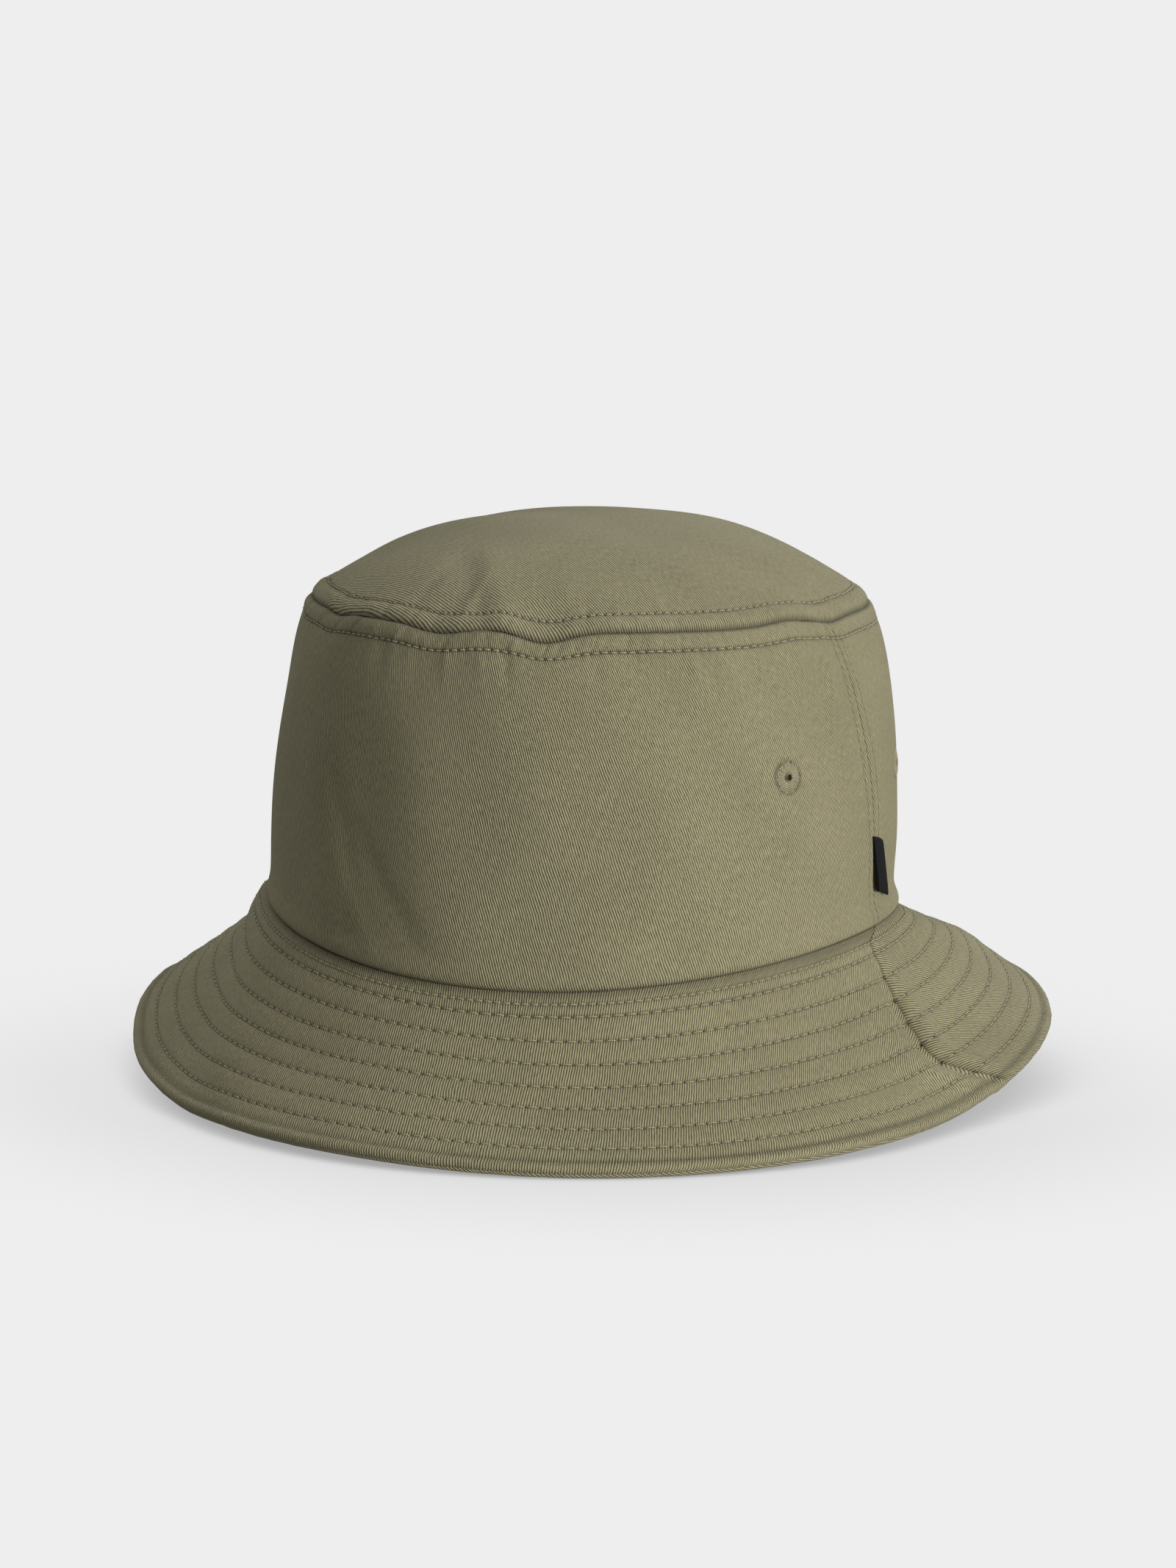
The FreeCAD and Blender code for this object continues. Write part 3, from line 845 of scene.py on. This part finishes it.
# ---- panels
SIDE_COLUMNS = 560
BRIM_COLUMNS = 760
TIP_COLUMNS = 840
side_faces = dense_about(0.0, SIDE_HEIGHT, [0.0, 2.0, SIDE_HEIGHT - TIP_ROW, SIDE_HEIGHT - 1.0], 0.95, 0.30)
side_backs = np.linspace(SIDE_HEIGHT - 0.3, 0.2, 46)


def side_panel(name, start):
    columns = np.linspace(start, start + 180.0, SIDE_COLUMNS)
    return shell_piece(name, columns, side_faces, side_backs, side_skin, side_lining, side_cloth,
                       olive, dark=side_painted_shade)


side_panels = {
    "crown_side_front": side_panel("crown_side_front", RIGHT),
    "crown_side_back": side_panel("crown_side_back", LEFT),
}


def crown_tip():
    columns = np.linspace(0.0, 360.0, TIP_COLUMNS, endpoint=False)
    rim = side_point(columns, SIDE_HEIGHT + 0.0 * columns)
    radius = np.hypot(rim[:, 0], rim[:, 1])
    shares = dense_about(0.0, 40.0, [0.0, TIP_ROW], 1.0, 0.30)
    inner = np.linspace(0.0, 1.0, 40)[1:]
    # Level distances in from the rim: fixed near it, then shared out to the middle
    insets = np.concatenate([np.broadcast_to(shares, (len(columns), len(shares))),
                             40.0 + inner[None, :] * (radius[:, None] - 41.5)], 1)
    angle_on_face = np.broadcast_to(columns[:, None], insets.shape)
    face, _ = tip_skin(angle_on_face, insets)
    face_cloth = tip_cloth(angle_on_face, insets)
    back_insets = np.linspace(1.0, 0.0, 30)[None, :] * (radius[:, None] - 1.8) + 0.3
    angle = np.broadcast_to(columns[:, None], back_insets.shape)
    smooth_lift = tip_lift(angle, back_insets) * smooth(back_insets, 6.0, 14.0)
    back, _ = raised(tip_point, angle, back_insets, smooth_lift - CLOTH, tip_sag(angle, back_insets))
    back_cloth = tip_cloth(angle, back_insets)
    profiles = np.concatenate([face, back], 1)
    rows = profiles.shape[1]
    faces = grid_faces(len(columns), rows, True, False).tolist()
    # Join the face to the back at the rim, and close both at the middle
    ring = np.arange(len(columns))
    nxt = (ring + 1) % len(columns)
    faces += np.stack([nxt * rows, ring * rows, ring * rows + rows - 1, nxt * rows + rows - 1], -1).tolist()
    middle_face = len(shares) + len(inner) - 1
    faces = [f for f in faces if not set_pair(f, rows, middle_face)]
    faces.append((ring * rows + middle_face).tolist())
    faces.append((ring * rows + middle_face + 1).tolist()[::-1])
    faces = outward_faces(profiles, faces)
    # Painted shade on the tip's face, from its row and seam
    shadows = np.zeros(profiles.shape[:2])
    shadows[:, :insets.shape[1]] = tip_painted_shade(angle_on_face, insets)
    add_piece("crown_tip", profiles, faces, np.concatenate([face_cloth, back_cloth], 1), olive,
              dark=shadows)


def set_pair(face, rows, index):
    """True of a quad that would join the face's middle to the back's middle."""
    stations = [corner % rows for corner in face]
    return min(stations) == index and max(stations) == index + 1


crown_tip()


def rolled_edge(columns, reach, here, up, roll, wave, last_turn, places, tuck, tucked_length):
    """Cloth rolled over the brim's edge and tucked back in; `up` points out of the face it rolls from."""
    reaches = reach + 0.0 * columns
    outer = unit(bent_brim(columns, reaches + 0.1) - bent_brim(columns, reaches - 0.1))
    middle = here - up * roll
    radius = (roll + wave)[:, None]
    turns = np.radians(np.linspace(12.0, last_turn, places))
    points = [middle + radius * (up * math.cos(t) + outer * math.sin(t)) for t in turns]
    points.append(middle - up * roll - outer * tuck)
    angle, extra = np.meshgrid(columns, np.append(roll * turns, tucked_length), indexing="ij")
    return np.stack(points, 1), angle, reach + extra


def hem_roll(columns):
    """The top layer rolled over the brim's edge, down to the seam with the under layer."""
    reach = BRIM_WIDTH - HEM_ROLL
    here, up = brim_skin(columns, reach + 0.0 * columns)
    wave = 0.10 * puckers(columns, 120, 77, 1.6, 130.0)
    return rolled_edge(columns, reach, here, up, HEM_ROLL, wave, 158.0, 11, 0.9,
                       HEM_ROLL * math.radians(158.0) + 1.2)


def under_roll(columns):
    """The under layer's edge, which shows as a thinner roll below the hem's seam."""
    reach = BRIM_WIDTH - UNDER_ROLL - UNDER_SETBACK
    here, down = under_skin(columns, reach + 0.0 * columns)
    wave = 0.08 * puckers(columns, 110, 78, 1.6, 130.0)
    return rolled_edge(columns, reach, here, down, UNDER_ROLL, wave, 152.0, 10, 1.0, UNDER_ROLL * math.pi)


def with_cloth(edge, cloth):
    def finished(columns):
        points, angle, reach = edge(columns)
        return points, cloth(angle, reach)
    return finished


brim_stations = dense_about(-0.9, BRIM_WIDTH - HEM_ROLL,
                            BRIM_ROW_REACHES + [FOOT_ROW, BRIM_WIDTH - 2.5], 0.8, 0.3, 0.8)
hidden_stations = np.linspace(BRIM_WIDTH - 3.5, -0.6, 8)
under_stations = dense_about(-0.6, BRIM_WIDTH - UNDER_ROLL - UNDER_SETBACK, BRIM_ROW_REACHES,
                             1.1, 0.45, 1.0)


def brim_half(side, start, lean):
    columns = np.linspace(start, start + 180.0, BRIM_COLUMNS)
    cloth = brim_cloth(start + 90.0, lean)
    under = brim_cloth(start + 90.0, -lean - 35.0)
    shell_piece("brim_top_" + side, columns, brim_stations, hidden_stations, brim_skin, inside_brim(CLOTH),
                cloth, olive, with_cloth(hem_roll, cloth), brim_painted_shade)
    under_top = inside_brim(CLOTH + INTERLINING)
    shell_piece("brim_under_" + side, columns, under_stations, hidden_stations, under_skin, under_top,
                under, olive, with_cloth(under_roll, under))
    # The interlining stops short of its other half, of the crown's foot and of the hem
    columns = np.linspace(start + 0.3, start + 179.7, 180)
    stations = np.linspace(1.5, BRIM_WIDTH - 4.0, 12)
    stiff_top = inside_brim(CLOTH + 0.05)
    stiff_foot = inside_brim(CLOTH + INTERLINING - 0.05)
    shell_piece("brim_interlining_" + side, columns, stations, stations[::-1], stiff_top, stiff_foot,
                cloth, canvas)


brim_half("front", RIGHT, 8.0)
brim_half("back", LEFT, 8.0)


# ---- inside trim
def upright_cloth(angle, height):
    return turned(np.radians(angle) * BASE_HALF_LENGTH, height, 0.0)


def inside_strip(name, middle, half_width, low, high, counts, depths, material):
    """A flat strip of cloth against the inside of the crown; its half width is an angle."""
    def face(angle, height):
        return side_lining(angle, height, depths[1])

    def back(angle, height):
        return side_lining(angle, height, depths[0])
    columns = np.linspace(middle - half_width, middle + half_width, counts[0])
    stations = np.linspace(low, high, counts[1])
    shell_piece(name, columns, stations, stations[::-1], face, back, upright_cloth, material)


# The band and the tip's tape go once round, and their ends meet at the back
once_round = 180.0 - math.degrees(0.15 / BASE_HALF_LENGTH)
inside_strip("sweatband", FRONT, once_round, 0.0, BAND_HEIGHT, (720, 34), (CLOTH, CLOTH + BAND),
             band_cloth)
inside_strip("tip_seam_tape", FRONT, once_round, SIDE_HEIGHT - TAPE_WIDTH + 0.5, SIDE_HEIGHT - 0.5,
             (720, 12), (CLOTH, CLOTH + TAPE), tape_cloth)
half_tape = math.degrees(TAPE_WIDTH / 2.0 / BASE_HALF_WIDTH)
for side, middle in (("left", LEFT), ("right", RIGHT)):
    inside_strip("side_seam_tape_" + side, middle, half_tape, BAND_HEIGHT + 0.5, SIDE_HEIGHT - TAPE_WIDTH,
                 (14, 60), (CLOTH, CLOTH + TAPE), tape_cloth)


# ---- stitches
THREAD_SIDES = 6
THREAD_RINGS = 6


def stitches(name, skin, paths, radius=0.18, gap_share=0.14, sunk=0.9):
    """Single stitches along rows; a row's path gives its angle and station at any phase, in stitches."""
    points, uvs, faces = [], [], []
    first = 0
    for path, count in paths:
        draw = np.random.default_rng(count)
        start = np.arange(count)[:, None]
        share = np.linspace(gap_share / 2.0, 1.0 - gap_share / 2.0, THREAD_RINGS)[None, :]
        angle, station = path(start + share)
        rise = 1.0 - np.abs(np.linspace(-1.0, 1.0, THREAD_RINGS)) ** 3.0
        lift = radius * (-sunk + (sunk + 0.95) * rise)[None, :] + 0.0 * angle
        centre, out = skin(angle, station, lift)
        tangent = unit(np.gradient(centre, axis=1))
        side = unit(np.cross(out, tangent))
        out = np.cross(tangent, side)
        centre = centre + side * draw.normal(0.0, 0.05, (count, 1, 1))
        along = np.cumsum(np.linalg.norm(np.diff(centre, axis=1, prepend=centre[:, :1]), axis=-1), axis=1)
        for k in range(THREAD_SIDES):
            turn = 2.0 * math.pi * k / THREAD_SIDES
            ring = radius * (math.cos(turn) * side * 1.1 + math.sin(turn) * out)
            points.append((centre + ring).reshape(-1, 3))
            around_it = np.full(along.size, k / THREAD_SIDES)
            uvs.append(np.stack([(along + start * 3.7).ravel(), around_it], -1))
        size = count * THREAD_RINGS
        stitch, ring, k = [g.ravel() for g in np.meshgrid(np.arange(count), np.arange(THREAD_RINGS - 1),
                                                           np.arange(THREAD_SIDES), indexing="ij")]
        here = first + stitch * THREAD_RINGS + ring
        low = here + k * size
        high = here + (k + 1) % THREAD_SIDES * size
        faces += np.stack([low, high, high + 1, low + 1], -1).tolist()
        for end in (0, THREAD_RINGS - 1):
            ring_corners = (np.arange(count)[:, None] * THREAD_RINGS + end
                            + np.arange(THREAD_SIDES)[None, :] * size + first)
            faces += (ring_corners[:, ::-1] if end == 0 else ring_corners).tolist()
        first += size * THREAD_SIDES
    add_piece(name, np.concatenate(points), faces, np.concatenate(uvs), thread)


def round_row(station, count):
    """A row once round the hat at a fixed station."""
    def path(phase):
        return phase * 360.0 / count, station + 0.0 * phase
    return path, count


def upright_row(middle, offset, low, high):
    """A row up the side of the crown beside a seam."""
    first = math.ceil(low / UPRIGHT_PITCH)
    count = int(math.floor(high / UPRIGHT_PITCH)) - first
    beside = middle + math.degrees(offset / BASE_HALF_WIDTH)

    def path(phase):
        return beside + 0.0 * phase, (phase + first) * UPRIGHT_PITCH
    return path, count


def band_skin(angle, height, extra):
    points, into = side_lining(angle, height, CLOTH + BAND)
    return points + into * extra[..., None], into


brim_rows = [round_row(reach, count) for reach, count in zip(BRIM_ROW_REACHES, BRIM_STITCHES)]
stitches("brim_stitching", brim_skin, brim_rows)
stitches("brim_bobbin_stitching", under_skin, brim_rows)
stitches("crown_foot_stitching", brim_skin, [round_row(FOOT_ROW, FOOT_STITCHES)])
stitches("tip_stitching_upper", tip_skin, [round_row(TIP_ROW, TIP_STITCHES)], gap_share=0.22)
stitches("tip_stitching_lower", side_skin, [round_row(SIDE_HEIGHT - TIP_ROW, TIP_STITCHES)], gap_share=0.22)
for side, middle in (("left", LEFT), ("right", RIGHT)):
    upright_rows = [upright_row(middle, offset, 3.0, SIDE_HEIGHT - TIP_ROW - 0.5)
                    for offset in (-SIDE_ROW, SIDE_ROW)]
    stitches("side_stitching_" + side, side_skin, upright_rows, radius=0.15, gap_share=0.3)
stitches("sweatband_stitching", band_skin, [round_row(BAND_ROW, BAND_STITCHES)])


# ---- eyelets
EYELET_THREADS = 58
THREAD_PLACES = 9
THREAD_CORNERS = 5


def eyelet_middle(place):
    """Middle of an eyelet on the crown's face, with the directions out, round and up the cloth."""
    angle, height = place
    middle, out = side_skin(np.array([angle]), np.array([height]), np.zeros(1))
    middle, out = middle[0], out[0]
    east = unit(np.array([-out[1], out[0], 0.0]))
    return middle, out, east, np.cross(out, east)


def drill(panel, place):
    """Cut the hole under an eyelet through a panel of the crown."""
    middle, out, _, _ = eyelet_middle(place)
    bpy.ops.mesh.primitive_cylinder_add(vertices=24, radius=CLOTH_HOLE * MM, depth=8.0 * MM,
                                        location=to_frame(middle).tolist())
    cutter = bpy.context.object
    cutter.rotation_mode = "QUATERNION"
    cutter.rotation_quaternion = Vector(out).to_track_quat("Z", "Y")
    cut = panel.modifiers.new("hole", "BOOLEAN")
    cut.operation = "DIFFERENCE"
    cut.object = cutter
    bpy.context.view_layer.update()
    cut_mesh = bpy.data.meshes.new_from_object(panel.evaluated_get(bpy.context.evaluated_depsgraph_get()))
    panel.modifiers.clear()
    panel.data = cut_mesh
    bpy.data.objects.remove(cutter)


def eyelet(name, place):
    """Thread wrapped over a raised ring, from its rim down into the hole, on both faces of the cloth."""
    draw = np.random.default_rng(int(place[0] + 400))
    middle, out, east, north = eyelet_middle(place)
    points, uvs, faces = [], [], []
    share = np.linspace(0.0, 1.0, THREAD_PLACES)
    size = THREAD_PLACES * THREAD_CORNERS
    for facing in (1.0, -1.0):
        for i in range(EYELET_THREADS):
            turn = 2.0 * math.pi * (i + draw.uniform(-0.22, 0.22)) / EYELET_THREADS
            rim = EYELET_RADIUS * draw.uniform(0.93, 1.05) * (1.0 if facing > 0 else 0.88)
            width = 0.235 * draw.uniform(0.85, 1.1)
            radius = rim + (EYELET_HOLE - rim) * share
            dome = 0.42 * np.sin(np.pi * np.clip(share * 0.92 + 0.02, 0.0, 1.0)) ** 0.6 - 0.16
            dome -= 1.3 * smooth(share, 0.82, 1.0)
            level = (0.0 if facing > 0 else -CLOTH) + facing * (dome + draw.uniform(-0.06, 0.06))
            along = east * math.cos(turn) + north * math.sin(turn)
            beside = -east * math.sin(turn) + north * math.cos(turn)
            spine = middle + along * radius[:, None] + out * level[:, None]
            thin = width * (0.30 + 0.70 * radius / rim)
            ring_points = []
            for corner in range(THREAD_CORNERS):
                round_it = 2.0 * math.pi * corner / THREAD_CORNERS
                ring_points.append(spine + beside * (thin * math.cos(round_it))[:, None]
                                   + out * (0.20 * math.sin(round_it)))
            first = len(points) * size
            points.append(np.stack(ring_points, 1).reshape(-1, 3))
            travelled = (rim - radius)[:, None] + 0.0 * np.arange(THREAD_CORNERS)[None, :]
            turns = np.tile(np.arange(THREAD_CORNERS) / THREAD_CORNERS, THREAD_PLACES)
            uvs.append(np.stack([travelled.ravel() + i, turns], -1))
            faces += grid_faces(THREAD_PLACES, THREAD_CORNERS, False, True, first).tolist()
            ends = list(range(first, first + size))
            faces.append(ends[:THREAD_CORNERS][::-1])
            faces.append(ends[-THREAD_CORNERS:])
    add_piece(name, np.concatenate(points), faces, np.concatenate(uvs), eyelet_thread)


for name, place in EYELETS.items():
    panel = "crown_side_front" if name.endswith("front") else "crown_side_back"
    drill(side_panels[panel], place)
    eyelet(name, place)


# ---- labels
def folded_label(name, root, turn, height, length, ply, material, lean=(0.0, 0.0), droop=0.0):
    """A woven tape folded into an upright loop with both ends at its root; its top leans, its end droops.

    The turn is its direction from the side seam's line.
    """
    half = 0.9 * ply
    straight = length - half
    # Outline of the tape's middle line, seen from above: out along one side, round the fold and back
    t = np.linspace(0.0, 1.0, 14)
    side_one = np.stack([t * straight, -half * np.minimum(1.0, 0.6 + t)], -1)
    bend = np.radians(np.linspace(-80.0, 80.0, 9))
    end = np.stack([straight + half * np.cos(bend), half * np.sin(bend)], -1)
    side_two = side_one[::-1] * np.array([1.0, -1.0])
    line = np.concatenate([side_one, end, side_two])
    step = np.gradient(line, axis=0)
    sideways = unit(np.stack([step[:, 1], -step[:, 0]], -1))
    outline = np.concatenate([line + sideways * ply / 2.0, (line - sideways * ply / 2.0)[::-1]])
    lengths = np.cumsum(np.linalg.norm(np.diff(outline, axis=0, prepend=outline[:1]), axis=1))
    direction = SEAM_ANGLE + 90.0 + turn
    ahead = np.array([cosd(direction), sind(direction), 0.0])
    beside = np.array([-sind(direction), cosd(direction), 0.0])
    columns = []
    places = []
    for share in np.linspace(0.0, 1.0, 24):
        # The woven edges at the top and bottom are a little thinner
        flat = outline * (1.0, 1.0 - 0.25 * (2.0 * share - 1.0) ** 8)
        level = height * share - droop * np.clip(flat[:, :1] / length, 0.0, None) ** 1.5
        shift = ahead * (lean[0] * share) + beside * (lean[1] * share) + UP * level
        columns.append(root + ahead * flat[:, :1] + beside * flat[:, 1:] + shift)
        places.append(np.stack([lengths, np.full(len(lengths), height * share)], -1))
    profiles = np.stack(columns)
    faces = outward_faces(profiles, loft(profiles))
    add_piece(name, profiles, faces, np.stack(places), material, name)


def label_root(name):
    """Foot of the line that a label turns about."""
    line = next(joint for joint in frame["joints"] if joint["name"] == name + "_turn")
    low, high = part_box(name)
    place = np.array(line["pos_m"]) / MM - MIDDLE
    place[2] = low.z / MM - MIDDLE[2]
    return place, (high.z - low.z) / MM


# The flag label lies along the crown just behind its seam, and leans in with the crown's side
flag_foot, flag_height = label_root("flag_label")
flag_foot += np.array([-FLAG_TUCK, 0.0, FLAG_RAISE])
folded_label("flag_label", flag_foot, FLAG_LIE, flag_height - FLAG_RAISE, FLAG_LENGTH, FLAG_PLY,
             flag_cloth, (FLAG_SLANT, FLAG_LEAN), FLAG_DROOP)
care_foot, care_height = label_root("care_label")
folded_label("care_label", care_foot, CARE_LIFT, care_height, CARE_LENGTH, CARE_PLY,
             white_label)
half_label = math.degrees(SIZE_LABEL_WIDTH / 2.0 / BASE_HALF_LENGTH)
inside_strip("size_label", BACK, half_label, SIZE_LABEL_LOW, SIZE_LABEL_HIGH, (40, 20),
             (CLOTH + BAND + 0.02, CLOTH + BAND + 0.4), black_label)


# ---- stage
FLOOR_HALF = 8.0
BACKDROP = 0.855
WORLD_ABOVE = 0.33
WORLD_BELOW = 0.22
# Reach and darkness of the floor's painted contact shadow
CONTACT_REACH = 0.13
PAINTED_SHADOW_DARKNESS = 0.66
WHITE = (1, 1, 1, 1)


def studio_world():
    """Even light from all round, a little brighter from above; the camera sees the plain backdrop."""
    world = bpy.data.worlds.new("studio")
    bpy.context.scene.world = world
    nodes = Nodes(world)
    nodes.tree.nodes.clear()
    ray = nodes.add("LightPath", {}).outputs["Is Camera Ray"]
    place = nodes.add("TexCoord", {}).outputs["Generated"]
    height = nodes.add("SeparateXYZ", {0: place}).outputs[2]
    light = nodes.ramp(height, -0.2, 0.6, WORLD_BELOW, WORLD_ABOVE)
    strength = nodes.add("Mix", {0: ray, 2: light, 3: BACKDROP}).outputs[0]
    background = nodes.add("Background", {"Color": WHITE, "Strength": strength}).outputs[0]
    nodes.add("OutputWorld", {0: background})


def studio_floor():
    """As bright as the backdrop, but for a painted contact shadow under the hat, taken from ambient occlusion
    into its glow, and clear from below.
    """
    mesh = bpy.data.meshes.new("floor")
    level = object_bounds()[0].z
    corners = [(x * FLOOR_HALF, y * FLOOR_HALF, level) for x, y in ((-1, -1), (1, -1), (1, 1), (-1, 1))]
    mesh.from_pydata(corners, [], [(0, 1, 2, 3)])
    floor = link_object("floor", mesh)
    floor.visible_diffuse = False
    floor.visible_glossy = False
    material = bpy.data.materials.new("floor")
    nodes = Nodes(material)
    nodes.tree.nodes.clear()
    # Painted shadow: the floor's glow is dimmed where ambient occlusion finds the hat nearby
    contact = nodes.add("AmbientOcclusion", {"Distance": CONTACT_REACH}, samples=16).outputs["AO"]
    painted_shadow_tone = nodes.ramp(contact, 0.0, 1.0, BACKDROP * (1.0 - PAINTED_SHADOW_DARKNESS), BACKDROP)
    glow = nodes.add("Emission", {0: WHITE, 1: painted_shadow_tone}).outputs[0]
    clear = nodes.add("BsdfTransparent", {}).outputs[0]
    below = nodes.add("NewGeometry", {}).outputs["Backfacing"]
    seen = nodes.add("MixShader", {0: below, 1: glow, 2: clear}).outputs[0]
    nodes.add("OutputMaterial", {0: seen})
    mesh.materials.append(material)


studio_world()
studio_floor()


def sun(name, azimuth, elevation, strength, size):
    """A soft light from a compass direction: azimuth 0 shines from the front, 90 from the wearer's left."""
    light = bpy.data.lights.new(name, "SUN")
    light.energy = strength
    light.angle = math.radians(size)
    lamp = link_object(name, light)
    level = cosd(elevation)
    toward = Vector((sind(azimuth) * level, -cosd(azimuth) * level, sind(elevation)))
    lamp.rotation_mode = "QUATERNION"
    lamp.rotation_quaternion = toward.to_track_quat("Z", "Y")


sun("key", 76.0, 6.0, 4.15, 35.0)
sun("top", -128.0, 55.0, 0.85, 50.0)

# Camera: its place and target in metres from the middle of the crown, and its roll in degrees
CAMERA_PLACE = (0.6334, -1.3597, 0.3010)
CAMERA_TARGET = (0.0002, 0.0001, 0.0825)
CAMERA_ROLL = 1.52
CAMERA_LENS = 121.55


def camera():
    """A long lens a little above the brim, ahead of the hat and to its left, rolled slightly."""
    data = bpy.data.cameras.new("camera")
    data.lens = CAMERA_LENS
    data.sensor_width = 36.0
    data.clip_start = 0.05
    data.clip_end = 60.0
    holder = link_object("camera", data)
    middle = Vector(MIDDLE * MM)
    place = middle + Vector(CAMERA_PLACE)
    look = (middle + Vector(CAMERA_TARGET) - place).to_track_quat("-Z", "Y").to_matrix().to_4x4()
    roll = Matrix.Rotation(math.radians(CAMERA_ROLL), 4, "Z")
    holder.matrix_world = Matrix.Translation(place) @ look @ roll
    bpy.context.scene.camera = holder


camera()
bpy.context.scene.view_settings.view_transform = "Standard"
